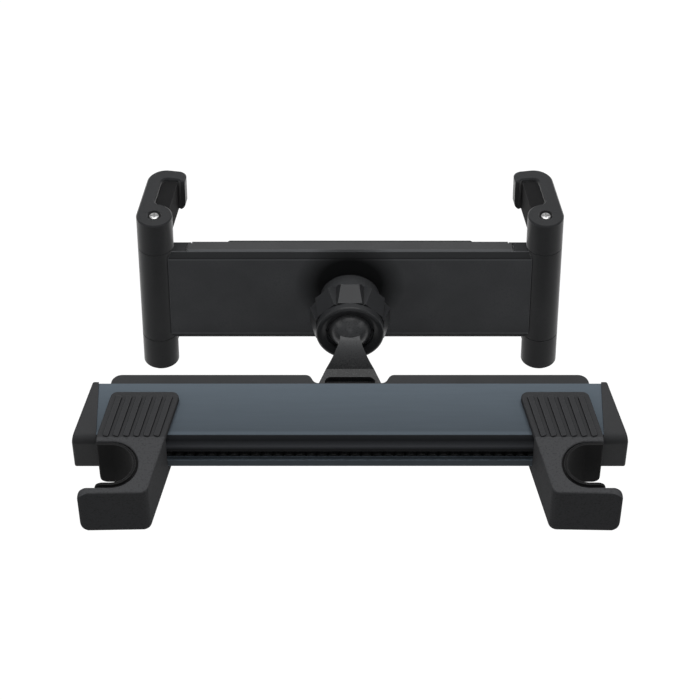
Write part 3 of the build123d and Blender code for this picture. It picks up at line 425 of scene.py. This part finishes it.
@dataclass(frozen=True)
class HookPlastic(MouldedPlastic):
    """The hooks' plastic, whose open front is lighter than the ribbed tail on the bar."""

    crease: float = 11.7
    crease_half: float = 0.1
    tone_shift: float = 0.06

    def shade(self, shader: Shader) -> Socket:
        """Gives the lighter tone's share, which drops at the crease between front and tail.

        Args:
            shader: The shader that takes the nodes.

        Returns:
            The share.
        """
        start, end = (self.crease - self.crease_half) * MM, (self.crease + self.crease_half) * MM
        front = shader.along("Y", start, end, 1.0, 0.0)
        cloud = shader.remap(shader.noise(self.mottle_size * MM), -self.tone_shift, self.tone_shift)
        return shader.combine("ADD", cloud, front)


@dataclass(frozen=True)
class StudPlastic(MouldedPlastic):
    """The ball stud's plastic, with painted shade that darkens the neck toward its base."""

    base_end: float = 43.4
    neck_end: float = 54.0

    def shade(self, shader: Shader) -> Socket:
        """Gives the lighter tone's share, growing along the neck and full on the ball: painted shade on the
        neck.
        """
        return shader.along("Y", self.base_end * MM, self.neck_end * MM, 0.0, 1.0)


@dataclass(frozen=True)
class PanelPlastic(MouldedPlastic):
    """The clamp's back panel, with painted shade on its bevels and boss, painted highlight and painted
    shadow.
    """

    clamp: ClampFrame = ClampFrame()
    bevel_start: float = 18.2
    bevel_end: float = 20.65
    bevel_shade_tone: float = 0.45
    bevel_highlight_width: float = 0.45
    bevel_highlight_tone: float = 1.8
    shadow_place: Triple = (0.0, 15.6, 6.0)
    shadow_inner: float = 11.5
    shadow_outer: float = 20.5
    shadow_tone: float = 0.12
    face: float = 15.3
    boss_shade_tone: float = 0.5
    fade: float = 0.05

    def body(self, shader: Shader) -> Socket:
        """Gives the panel's colour: painted shade on bevels and boss, a painted highlight line, a painted
        shadow ring.

        Args:
            shader: The shader that takes the nodes.

        Returns:
            The colour before wear.
        """
        up, depth, fade = self.clamp.up, self.clamp.depth, self.fade * MM
        middle = up.dot(self.clamp.point(0.0, 0.0, 0.0))
        height = shader.combine("SUBTRACT", shader.measure("DOT_PRODUCT", up), middle)
        from_middle = shader.combine("ABSOLUTE", height)
        start, end = self.bevel_start * MM, self.bevel_end * MM
        # Painted highlight: a thin light line along the panel's face just inside the bevels.
        bevel_highlight_edge = (self.bevel_start - self.bevel_highlight_width) * MM
        inside = shader.spread(from_middle, start - fade, start + fade, 0.0, 1.0)
        outside = shader.spread(from_middle, end - fade, end + fade, 1.0, 0.0)
        bevel_highlight = shader.spread(from_middle, bevel_highlight_edge - fade, bevel_highlight_edge + fade, 0.0, 1.0)
        face = depth.dot(self.clamp.point(0.0, self.face, 0.0))
        flat = shader.spread(shader.measure("DOT_PRODUCT", depth), face - fade, face + fade, 0.0, 1.0)
        # Painted shadow: a dark soft ring on the panel's face round the socket, centred above it.
        away = shader.measure("DISTANCE", self.clamp.point(*self.shadow_place))
        socket_shadow = shader.spread(away, self.shadow_inner * MM, self.shadow_outer * MM, 1.0, 0.0)
        colour = shader.mix(super().body(shader), self.toned(self.bevel_highlight_tone), bevel_highlight)
        colour = shader.mix(colour, self.tone, inside)
        # Painted shade: the bevels along the panel's edges are darkened as a recess in shade.
        bevel = shader.combine("MULTIPLY", inside, outside)
        colour = shader.mix(colour, self.toned(self.bevel_shade_tone), bevel)
        # Painted shade: the socket's boss, standing in front of the panel's face behind the nut, is darkened.
        colour = shader.mix(colour, self.toned(self.boss_shade_tone), shader.combine("SUBTRACT", 1.0, flat))
        return shader.mix(colour, self.toned(self.shadow_tone), shader.combine("MULTIPLY", socket_shadow, flat))


@dataclass(frozen=True)
class AnodisedSheet:
    """Blasted and anodised aluminium sheet with a faint rolling direction along X and a black rolled nose.

    The nose's paler band, where it bulges most, is a painted highlight; the flat sheet has painted light and
    a painted highlight along its front edge. Places and sizes are in millimetres.
    """

    name: str
    tone: Colour
    nose: Colour
    roughness: float
    metallic: float
    specular: float = 0.1
    front: float = 16.0
    front_shade_tone: float = 0.8
    rear: float = 36.0
    rear_light_tone: float = 1.2
    roll_size: float = 1.2
    roll_stretch: Triple = (0.06, 1.0, 1.0)
    roll_drift: float = 0.06
    edge_highlight_width: float = 0.7
    edge_highlight_share: float = 0.9
    nose_top: float = 9.9
    nose_fade: float = 0.04
    nose_matt: float = 0.2
    nose_highlight_top: float = 8.8
    nose_highlight_middle: float = 6.0
    nose_highlight_bottom: float = 4.0
    nose_highlight_tone: float = 6.5
    blast_size: float = 0.16
    blast_depth: float = 0.008
    blast_gloss: float = 0.05
    blast_show: float = 0.4

    def flat_colour(self, shader: Shader) -> Socket:
        """Gives the flat sheet's colour: painted light, lighter to the rear, and a painted highlight on its
        front edge.

        Args:
            shader: The shader that takes the nodes.

        Returns:
            The colour.
        """
        streaks = shader.noise(self.roll_size * MM, stretch=self.roll_stretch)
        rolled = shader.remap(streaks, -self.roll_drift, self.roll_drift)
        # Painted light: the sheet is darker toward the front and lighter toward the rear.
        fade = shader.along("Y", self.front * MM, self.rear * MM, 0.0, 1.0)
        share = shader.combine("ADD", rolled, fade)
        sheet = shader.mix(scaled(self.tone, self.front_shade_tone), scaled(self.tone, self.rear_light_tone), share)
        # Painted highlight: a thin lighter line along the sheet's front edge.
        edge = shader.along("Y", (self.front - self.edge_highlight_width) * MM, self.front * MM, self.edge_highlight_share, 0.0)
        return shader.mix(sheet, self.tone, edge)

    def nose_colour(self, shader: Shader) -> Socket:
        """Gives the rolled nose's colour with its paler band of painted highlight.

        Args:
            shader: The shader that takes the nodes.

        Returns:
            The colour.
        """
        # Painted highlight: a paler band along the nose where it bulges most.
        upper = shader.along("Z", self.nose_highlight_middle * MM, self.nose_highlight_top * MM, 1.0, 0.0)
        lower = shader.along("Z", self.nose_highlight_bottom * MM, self.nose_highlight_middle * MM, 0.0, 1.0)
        nose_highlight = shader.combine("MULTIPLY", upper, lower)
        return shader.mix(self.nose, scaled(self.nose, self.nose_highlight_tone), nose_highlight)

    def material(self) -> bpy.types.Material:
        """Builds the sheet's material.

        Returns:
            The material.
        """
        shader = Shader(self.name)
        low, high = (self.nose_top - self.nose_fade) * MM, (self.nose_top + self.nose_fade) * MM
        nose = shader.along("Z", low, high, 1.0, 0.0)
        colour = shader.mix(self.flat_colour(shader), self.nose_colour(shader), nose)
        metal = shader.combine("MULTIPLY_ADD", nose, -self.metallic, self.metallic)
        blasted = shader.noise(self.blast_size * MM, detail=2.0)
        rough = shader.remap(blasted, self.roughness - self.blast_gloss, self.roughness + self.blast_gloss)
        matt = shader.combine("MULTIPLY_ADD", nose, self.nose_matt, rough)
        shader.feed(Base_Color=colour, Metallic=metal, Roughness=matt)
        shader.set(Specular_IOR_Level=self.specular)
        shader.bump(blasted, self.blast_depth * MM, self.blast_show)
        return shader.material


@dataclass(frozen=True)
class SoftRubber:
    """Matt soft rubber with a dusty sheen and a painted highlight along its rims."""

    name: str
    tone: Colour
    roughness: float
    specular: float = 0.1
    rim_highlight: float = 4.0
    rim_highlight_reach: float = 0.4
    dust: float = 1.2
    dust_size: float = 5.0
    dust_detail: float = 5.0
    pore_size: float = 0.25
    pore_depth: float = 0.02
    pore_gloss: float = 0.08
    pore_show: float = 0.5
    sheen: float = 0.04
    sheen_spread: float = 0.5

    def material(self) -> bpy.types.Material:
        """Builds the rubber's material.

        Returns:
            The material.
        """
        shader = Shader(self.name)
        dust = shader.remap(shader.noise(self.dust_size * MM, self.dust_detail), 0.0, 1.0)
        dusty = shader.mix(self.tone, scaled(self.tone, self.dust), dust)
        # Painted highlight: a paler line along the rubber's rims.
        edge_lightened = shader.mix(dusty, scaled(self.tone, self.rim_highlight), shader.edges(self.rim_highlight_reach * MM))
        pores = shader.noise(self.pore_size * MM)
        rough = shader.remap(pores, self.roughness - self.pore_gloss, self.roughness + self.pore_gloss)
        shader.feed(Base_Color=edge_lightened, Roughness=rough)
        shader.set(Specular_IOR_Level=self.specular)
        shader.set(Sheen_Weight=self.sheen, Sheen_Roughness=self.sheen_spread)
        shader.bump(pores, self.pore_depth * MM, self.pore_show)
        return shader.material


@dataclass(frozen=True)
class PlatedSteel:
    """Zinc-plated or plain drawn steel with fine turning marks."""

    name: str
    tone: Colour
    roughness: float
    film: float = 0.8
    film_size: float = 1.5
    film_detail: float = 4.0
    mark_size: float = 0.12
    mark_depth: float = 0.006
    mark_gloss: float = 0.07
    mark_show: float = 0.3

    def material(self) -> bpy.types.Material:
        """Builds the steel's material.

        Returns:
            The material.
        """
        shader = Shader(self.name)
        film = shader.remap(shader.noise(self.film_size * MM, self.film_detail), 0.0, 1.0)
        colour = shader.mix(scaled(self.tone, self.film), self.tone, film)
        marks = shader.noise(self.mark_size * MM, detail=2.0)
        rough = shader.remap(marks, self.roughness - self.mark_gloss, self.roughness + self.mark_gloss)
        shader.feed(Base_Color=colour, Roughness=rough)
        shader.set(Metallic=1.0)
        shader.bump(marks, self.mark_depth * MM, self.mark_show)
        return shader.material


Finish = MouldedPlastic | AnodisedSheet | SoftRubber | PlatedSteel

PLATE = AnodisedSheet(
    "slate_anodised_sheet",
    (0.084, 0.103, 0.122),
    nose=(0.017, 0.018, 0.02),
    roughness=0.45,
    metallic=0.3,
    specular=0.03,
)
BAR_BLACK = MouldedPlastic("bar_black", (0.045, 0.046, 0.048), roughness=0.52, specular=0.11)
# Painted highlight: strongly lightened edges give the lip's top edge a bright line.
RAIL_BLACK = MouldedPlastic(
    "rail_black", (0.068, 0.084, 0.1), roughness=0.55, specular=0.1, wear_and_highlight=4.0, edge_reach=1.2
)
CLAMP_BLACK = MouldedPlastic("clamp_black", (0.082, 0.083, 0.085), roughness=0.6, specular=0.04)
PANEL_BLACK = PanelPlastic("panel_black", (0.095, 0.098, 0.103), roughness=0.6, specular=0.04)
BARREL_BLACK = MouldedPlastic(
    "barrel_black", (0.029, 0.03, 0.032), roughness=0.34, specular=0.042, speckle=0.05, sheen=0.55
)
HOOK_BLACK = HookPlastic(
    "hook_black", (0.063, 0.064, 0.067), roughness=0.7, specular=0.018, tone_swing=0.2, speckle=0.05
)
# Painted shade: the tone swing sets how much darker the neck is painted toward its base than the ball.
STUD_BLACK = StudPlastic(
    "stud_black",
    (0.04, 0.041, 0.043),
    roughness=0.28,
    specular=0.3,
    grain_depth=0.001,
    grain_gloss=0.01,
    tone_swing=0.6,
    speckle=0.0,
)
# Painted highlight: lightened edges give the nut's ring its light lines.
NUT_BLACK = MouldedPlastic(
    "nut_black",
    (0.031, 0.032, 0.034),
    roughness=0.3,
    specular=0.22,
    grain_depth=0.003,
    grain_gloss=0.02,
    speckle=0.01,
    wear_and_highlight=2.2,
)
# Painted highlight: strongly lightened edges make the teeth's tips show as bright dashes.
RACK_BLACK = MouldedPlastic("rack_black", (0.022, 0.023, 0.024), roughness=0.5, specular=0.12, wear_and_highlight=7.0)
RUBBER = SoftRubber("soft_rubber", (0.013, 0.013, 0.0135), roughness=0.8)
PAD_RUBBER = SoftRubber("pad_rubber", (0.03, 0.03, 0.0305), roughness=0.72, rim_highlight=1.5)
ZINC = PlatedSteel("zinc_plated", (0.85, 0.85, 0.85), roughness=0.3)
SPRING_WIRE = PlatedSteel("drawn_wire", (0.6, 0.6, 0.61), roughness=0.28)


class Paintbox:
    """Keeps one material for each finish."""

    def __init__(self) -> None:
        """Starts with no materials."""
        self.made: dict[str, bpy.types.Material] = {}

    def coat(self, piece: bpy.types.Object, finish: Finish) -> None:
        """Gives a piece a finish.

        Args:
            piece: The object to coat.
            finish: The finish that it takes.
        """
        if finish.name not in self.made:
            self.made[finish.name] = finish.material()
        piece.data.materials.clear()
        piece.data.materials.append(self.made[finish.name])


class Workshop:
    """Dresses nodes and makes new pieces."""

    WELD_REACH = 0.002 * MM
    SHARP_ANGLE = radians(40)
    ROUND_SEGMENTS = 2
    EVEN_WEIGHT = 50

    def __init__(self) -> None:
        """Starts with an empty paintbox."""
        self.paintbox = Paintbox()

    def dress(self, node: str, finish: Finish, edge: EdgeRound | None = EdgeRound.MOULDED) -> None:
        """Coats a node and rounds its sharp edges.

        Args:
            node: The node's name.
            finish: Its finish.
            edge: How far its edges are rounded off, or None to leave them as they are.
        """
        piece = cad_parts[node]
        self.paintbox.coat(piece, finish)
        if edge is not None:
            weld = piece.modifiers.new("weld", "WELD")
            weld.merge_threshold = self.WELD_REACH
            bevel = piece.modifiers.new("edge_round", "BEVEL")
            bevel.width = edge.value * MM
            bevel.segments = self.ROUND_SEGMENTS
            bevel.limit_method = "ANGLE"
            bevel.angle_limit = self.SHARP_ANGLE
            bevel.use_clamp_overlap = True
            even = piece.modifiers.new("even_shading", "WEIGHTED_NORMAL")
            even.mode = "FACE_AREA"
            even.weight = self.EVEN_WEIGHT
            even.keep_sharp = False
        log.info("%s dressed in %s", node, finish.name)

    def add(self, name: str, mesh: bpy.types.Mesh, finish: Finish, smooth: bool = True) -> bpy.types.Object:
        """Puts a new mesh in the scene.

        Args:
            name: The piece's name.
            mesh: Its mesh, in the shared frame.
            finish: Its finish.
            smooth: Whether its faces are shaded smooth.

        Returns:
            The new object.
        """
        piece = bpy.data.objects.new(name, mesh)
        bpy.context.scene.collection.objects.link(piece)
        for face in mesh.polygons:
            face.use_smooth = smooth
        self.paintbox.coat(piece, finish)
        log.info("%s made with %d faces", name, len(mesh.polygons))
        return piece


def mesh_of(name: str, form: bmesh.types.BMesh) -> bpy.types.Mesh:
    """Turns a bmesh into a mesh and frees it.

    Args:
        name: The mesh's name.
        form: The bmesh.

    Returns:
        The mesh.
    """
    bmesh.ops.recalc_face_normals(form, faces=form.faces)
    mesh = bpy.data.meshes.new(name)
    form.to_mesh(mesh)
    form.free()
    return mesh


def skin(form: bmesh.types.BMesh, rings: Sequence[Sequence[bmesh.types.BMVert]]) -> None:
    """Joins rings of points by faces, and closes the first and the last ring.

    Args:
        form: The bmesh that takes the faces.
        rings: The rings in order, each with the same number of points.
    """
    sides = len(rings[0])
    for low, high in zip(rings, rings[1:]):
        for n in range(sides):
            form.faces.new((low[n], low[(n + 1) % sides], high[(n + 1) % sides], high[n]))
    form.faces.new(rings[0])
    form.faces.new(rings[-1])


def lathe(form: bmesh.types.BMesh, profile: Sequence[tuple[float, float]], sides: int) -> None:
    """Turns a profile about Z and closes its two ends.

    Args:
        form: The bmesh that takes the faces.
        profile: Points of radius and height in millimetres, from one end to the other.
        sides: Number of sides.
    """
    rings = []
    for radius, height in profile:
        turn = [(radius * cos(tau * n / sides), radius * sin(tau * n / sides)) for n in range(sides)]
        rings.append([form.verts.new((x * MM, y * MM, height * MM)) for x, y in turn])
    skin(form, rings)


def tube(form: bmesh.types.BMesh, path: Sequence[Vector], radius: float, sides: int) -> None:
    """Sweeps a round section along a path and closes its ends.

    Args:
        form: The bmesh that takes the faces.
        path: Points of the path in metres.
        radius: Radius of the section in metres.
        sides: Number of sides of the section.
    """
    rings = []
    side = (path[1] - path[0]).orthogonal().normalized()
    for n, point in enumerate(path):
        along = (path[min(n + 1, len(path) - 1)] - path[max(n - 1, 0)]).normalized()
        side = (side - along * side.dot(along)).normalized()
        other = along.cross(side)
        turn = [(cos(tau * k / sides), sin(tau * k / sides)) for k in range(sides)]
        rings.append([form.verts.new(point + (side * c + other * s) * radius) for c, s in turn])
    skin(form, rings)


def carved(body: bpy.types.Mesh, cutter: bpy.types.Mesh) -> bpy.types.Mesh:
    """Cuts one mesh out of another.

    Args:
        body: The mesh that stays.
        cutter: The mesh that is taken out of it.

    Returns:
        What is left of the body.
    """
    pieces = [bpy.data.objects.new(mesh.name, mesh) for mesh in (body, cutter)]
    for piece in pieces:
        bpy.context.scene.collection.objects.link(piece)
    cut = pieces[0].modifiers.new("cut", "BOOLEAN")
    cut.operation = "DIFFERENCE"
    cut.solver = "EXACT"
    cut.object = pieces[1]
    graph = bpy.context.evaluated_depsgraph_get()
    left = bpy.data.meshes.new_from_object(pieces[0].evaluated_get(graph))
    for piece in pieces:
        bpy.data.objects.remove(piece)
    return left


@dataclass
class HeadrestBar:
    """The bar that the hooks slide on, and the ball on its neck."""

    workshop: Workshop

    def build(self) -> None:
        """Dresses the bar's pieces."""
        self.workshop.dress("top_plate", PLATE, EdgeRound.FINE)
        self.workshop.dress("rail_body", RAIL_BLACK, EdgeRound.FINE)
        for node in ("rear_cover", "left_end_cap", "right_end_cap"):
            self.workshop.dress(node, BAR_BLACK)
        self.workshop.dress("tooth_rack", RACK_BLACK, EdgeRound.FINE)
        self.workshop.dress("ball_stud", STUD_BLACK)
        for node in ("cap_screws", "neck_screws"):
            self.workshop.dress(node, ZINC, EdgeRound.FINE)


@dataclass
class PostHook:
    """One hook with its rubber liner and its detent."""

    workshop: Workshop
    side: Side

    def build(self) -> None:
        """Dresses the hook's pieces."""
        side = self.side.word
        self.workshop.dress(f"{side}_hook", HOOK_BLACK, EdgeRound.FINE)
        self.workshop.dress(f"{side}_post_liner", RUBBER, EdgeRound.MOULDED)
        self.workshop.dress(f"{side}_detent_spring", SPRING_WIRE, None)
        self.workshop.dress(f"{side}_detent_screw", ZINC, EdgeRound.FINE)


@dataclass
class CoilSpring:
    """A return spring, a close-wound coil whose straight ends pass through its lugs, in millimetres."""

    workshop: Workshop
    clamp: ClampFrame
    level: Level
    height: float = 17.4
    depth: float = 19.7
    anchor: float = 20.0
    arm_lug: float = 49.0
    lug_half: float = 1.3
    coil_radius: float = 0.85
    wire_radius: float = 0.2
    pitch: float = 0.62
    end_reach: float = 1.6
    wire_sides: int = 6
    steps_a_turn: int = 12

    def path(self) -> list[Vector]:
        """Gives the wire's points from the anchor to the arm's lug.

        Returns:
            The points in metres.
        """
        sign = self.level.value
        start = self.anchor - self.lug_half
        end = -self.arm_lug + self.lug_half
        turns = int((start - end) / self.pitch)
        steps = turns * self.steps_a_turn
        points = [(start + self.lug_half + self.end_reach, 0.0, 0.0)]
        points.append((start + self.wire_radius, 0.0, 0.0))
        for n in range(steps + 1):
            turn = tau * n / self.steps_a_turn
            x = start + (end - start) * n / steps
            points.append((x, self.coil_radius * cos(turn), self.coil_radius * sin(turn)))
        points.append((end - self.wire_radius, 0.0, 0.0))
        points.append((end - self.lug_half - self.end_reach, 0.0, 0.0))
        return [self.clamp.point(sign * x, self.depth + d, sign * (self.height + u)) for x, d, u in points]

    def build(self) -> None:
        """Winds the spring between the clamp and its arm."""
        form = bmesh.new()
        tube(form, self.path(), self.wire_radius * MM, self.wire_sides)
        node = f"{self.level.word}_spring"
        piece = self.workshop.add(f"{node}_coil", mesh_of(node, form), SPRING_WIRE)
        sign = self.level.value
        start = self.clamp.point(sign * self.anchor, self.depth, sign * self.height)
        end = self.clamp.point(-sign * self.arm_lug, self.depth, sign * self.height)
        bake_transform(piece)
        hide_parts(node)


@dataclass
class ClampBody:
    """The housing that the arms slide in, its lock nut, its pinion and its springs."""

    workshop: Workshop
    clamp: ClampFrame

    def build(self) -> None:
        """Dresses the housing and winds the springs."""
        self.workshop.dress("back_cover", PANEL_BLACK)
        for node in ("front_cover", "pinion"):
            self.workshop.dress(node, CLAMP_BLACK)
        self.workshop.dress("lock_nut", NUT_BLACK)
        self.workshop.dress("friction_pad", RUBBER, None)
        self.workshop.dress("front_pad", PAD_RUBBER, EdgeRound.MOULDED)
        self.workshop.dress("cover_screws", ZINC, EdgeRound.FINE)
        for level in Level:
            CoilSpring(self.workshop, self.clamp, level).build()


@dataclass
class HingeScrews:
    """The two cross-head screws that a side's claws turn on, in millimetres."""

    workshop: Workshop
    clamp: ClampFrame
    side: Side
    barrel_x: float = 71.3
    barrel_depth: float = 20.8
    seat: float = 33.3
    head_radius: float = 2.0
    head_height: float = 1.6
    head_round: float = 0.9
    shank_radius: float = 1.5
    shank_length: float = 21.5
    slot_width: float = 0.62
    slot_reach: float = 1.35
    slot_depth: float = 0.9
    sides: int = 40
    round_steps: int = 4

    def screw(self) -> bpy.types.Mesh:
        """Makes one screw that stands on its head's seat, with a cross recess in its top.

        Returns:
            The screw's mesh.
        """
        form = bmesh.new()
        crown = self.head_height - self.head_round
        profile = [(self.shank_radius, -self.shank_length), (self.shank_radius, 0.0), (self.head_radius, 0.0)]
        for n in range(self.round_steps + 1):
            turn = pi / 2 * n / self.round_steps
            radius = self.head_radius - self.head_round + self.head_round * cos(turn)
            profile.append((radius, crown + self.head_round * sin(turn)))
        lathe(form, profile, self.sides)
        return carved(mesh_of("screw", form), self.cross())

    def cross(self) -> bpy.types.Mesh:
        """Makes the cutter of the cross recess, a plus-shaped prism.

        Returns:
            The cutter's mesh.
        """
        half, reach = self.slot_width / 2, self.slot_reach
        arm = [(half, -half), (reach, -half), (reach, half)]
        turns = ((1, 0), (0, 1), (-1, 0), (0, -1))
        outline = [(x * c - y * s, x * s + y * c) for c, s in turns for x, y in arm]
        level = self.head_height - self.slot_depth
        form = bmesh.new()
        floor = [form.verts.new((x * MM, y * MM, level * MM)) for x, y in outline]
        prism = bmesh.ops.extrude_face_region(form, geom=[form.faces.new(floor)])
        lifted = [part for part in prism["geom"] if isinstance(part, bmesh.types.BMVert)]
        bmesh.ops.translate(form, verts=lifted, vec=(0.0, 0.0, 2 * self.slot_depth * MM))
        return mesh_of("cross", form)

    def build(self) -> None:
        """Puts the screws in both ends of the barrel."""
        form = bmesh.new()
        across = Vector((1.0, 0.0, 0.0))
        for level in Level:
            sign = level.value
            place = self.clamp.point(self.side.value * self.barrel_x, self.barrel_depth, sign * self.seat)
            turn = Matrix((across, -self.clamp.depth * sign, self.clamp.up * sign)).transposed()
            screw = self.screw()
            screw.transform(Matrix.Translation(place) @ turn.to_4x4())
            form.from_mesh(screw)
        node = f"{self.side.word}_hinge_screws"
        piece = self.workshop.add(f"{node}_cross_head", mesh_of(node, form), ZINC, smooth=False)
        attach(piece, f"{self.side.word}_arm_body")
        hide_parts(node)


@dataclass
class SlidingArm:
    """One arm with its barrel, hinge screws and claws."""

    workshop: Workshop
    clamp: ClampFrame
    side: Side

    def build(self) -> None:
        """Dresses the arm and its claws, and makes its screws."""
        side = self.side.word
        self.workshop.dress(f"{side}_arm", BARREL_BLACK)
        for level in Level:
            self.workshop.dress(f"{level.word}_{side}_claw", BARREL_BLACK)
            self.workshop.dress(f"{level.word}_{side}_claw_pad", RUBBER)
        HingeScrews(self.workshop, self.clamp, self.side).build()


@dataclass(frozen=True)
class SoftBox:
    """A square soft lamp that points at the mount, in metres and watts."""

    name: str
    place: Triple
    size: float
    power: float
    aim: Triple = (0.0, 0.04, 0.0)

    def hang(self) -> None:
        """Puts the lamp in the scene."""
        lamp = bpy.data.lights.new(self.name, "AREA")
        lamp.shape = "SQUARE"
        lamp.size = self.size
        lamp.energy = self.power
        holder = bpy.data.objects.new(self.name, lamp)
        holder.location = self.place
        beam = Vector(self.aim) - holder.location
        holder.rotation_euler = beam.to_track_quat("-Z", "Y").to_euler()
        bpy.context.scene.collection.objects.link(holder)
        log.info("%s hung", self.name)


@dataclass
class Studio:
    """A pale floor far below the mount, soft lamps, and a world that is brightest above and behind.

    Lengths are in metres. The world fades between two leans, cosines to its bright side.
    """

    floor_level: float = -0.3
    floor_size: float = 40.0
    floor_tone: float = 0.25
    floor_glow: float = 0.85
    bright_side: Triple = (0.0, 0.5, 0.86)
    dim: float = 0.08
    dim_lean: float = -0.3
    bright: float = 0.5
    bright_lean: float = 0.9
    lamps: tuple[SoftBox, ...] = (
        SoftBox("overhead_box", (0.0, 0.4, 1.2), size=1.2, power=9.0),
        SoftBox("left_box", (-1.1, -0.3, 0.6), size=0.5, power=1.2),
        SoftBox("right_box", (1.1, -0.3, 0.6), size=0.5, power=1.2),
        SoftBox("front_box", (0.0, -1.15, 0.55), size=0.25, power=0.5),
    )

    def floor(self) -> None:
        """Lays the floor, which shows white and keeps the mount's shadow."""
        form = bmesh.new()
        bmesh.ops.create_grid(form, x_segments=1, y_segments=1, size=self.floor_size / 2)
        piece = bpy.data.objects.new("floor", mesh_of("floor", form))
        piece.location = (0.0, 0.0, self.floor_level)
        bpy.context.scene.collection.objects.link(piece)
        material = bpy.data.materials.new("pale_floor")
        material.use_nodes = True
        nodes, links = material.node_tree.nodes, material.node_tree.links
        nodes.clear()
        matt = nodes.new("ShaderNodeBsdfDiffuse")
        matt.inputs["Color"].default_value = (self.floor_tone, self.floor_tone, self.floor_tone, 1.0)
        glow = nodes.new("ShaderNodeEmission")
        path = nodes.new("ShaderNodeLightPath")
        seen = path.outputs["Is Camera Ray"]
        for ray in ("Is Glossy Ray", "Is Transmission Ray"):
            either = nodes.new("ShaderNodeMath")
            either.operation = "MAXIMUM"
            links.new(seen, either.inputs[0])
            links.new(path.outputs[ray], either.inputs[1])
            seen = either.outputs["Value"]
        strength = nodes.new("ShaderNodeMath")
        strength.operation = "MULTIPLY"
        strength.inputs[1].default_value = self.floor_glow
        links.new(seen, strength.inputs[0])
        links.new(strength.outputs["Value"], glow.inputs["Strength"])
        both = nodes.new("ShaderNodeAddShader")
        links.new(matt.outputs["BSDF"], both.inputs[0])
        links.new(glow.outputs["Emission"], both.inputs[1])
        links.new(both.outputs["Shader"], nodes.new("ShaderNodeOutputMaterial").inputs["Surface"])
        piece.data.materials.append(material)
        log.info("floor laid")

    def sky(self) -> None:
        """Sets a world that fades from its bright side to a dim front."""
        world = bpy.data.worlds.new("studio")
        world.use_nodes = True
        nodes, links = world.node_tree.nodes, world.node_tree.links
        lean = nodes.new("ShaderNodeVectorMath")
        lean.operation = "DOT_PRODUCT"
        lean.inputs[1].default_value = self.bright_side
        links.new(nodes.new("ShaderNodeTexCoord").outputs["Generated"], lean.inputs[0])
        fade = nodes.new("ShaderNodeMapRange")
        leans = (("From Min", self.dim_lean), ("From Max", self.bright_lean))
        for key, value in (*leans, ("To Min", self.dim), ("To Max", self.bright)):
            fade.inputs[key].default_value = value
        links.new(lean.outputs["Value"], fade.inputs["Value"])
        links.new(fade.outputs["Result"], nodes["Background"].inputs["Strength"])
        nodes["Background"].inputs["Color"].default_value = (1.0, 1.0, 1.0, 1.0)
        bpy.context.scene.world = world

    def build(self) -> None:
        """Lays the floor and lights it."""
        self.floor()
        self.sky()
        for lamp in self.lamps:
            lamp.hang()


@dataclass
class Viewpoint:
    """The camera, above the front seat and looking down at the bar.

    Its place and clipping are in metres, its pitch in degrees, its lens and sensor in millimetres.
    """

    place: Triple = (0.0, -0.6059, 0.9317)
    pitch: float = 35.5
    lens: float = 159.43
    sensor: float = 36.0
    nearest: float = 0.01
    furthest: float = 20.0

    def build(self) -> None:
        """Sets the camera up."""
        data = bpy.data.cameras.new("viewpoint")
        data.lens = self.lens
        data.sensor_width = self.sensor
        data.clip_start = self.nearest
        data.clip_end = self.furthest
        camera = bpy.data.objects.new("viewpoint", data)
        camera.location = self.place
        camera.rotation_euler = (radians(self.pitch), 0.0, 0.0)
        bpy.context.scene.collection.objects.link(camera)
        bpy.context.scene.camera = camera


def main() -> None:
    """Builds the mount's looks around the frame, then the studio and the camera."""
    logging.basicConfig(level=logging.INFO, format="%(name)s: %(message)s")
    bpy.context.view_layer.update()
    bpy.context.scene.view_settings.view_transform = "Standard"
    workshop = Workshop()
    clamp = ClampFrame()
    HeadrestBar(workshop).build()
    for side in Side:
        PostHook(workshop, side).build()
    ClampBody(workshop, clamp).build()
    for side in Side:
        SlidingArm(workshop, clamp, side).build()
    Studio().build()
    Viewpoint().build()


if __name__ == "__main__":
    main()
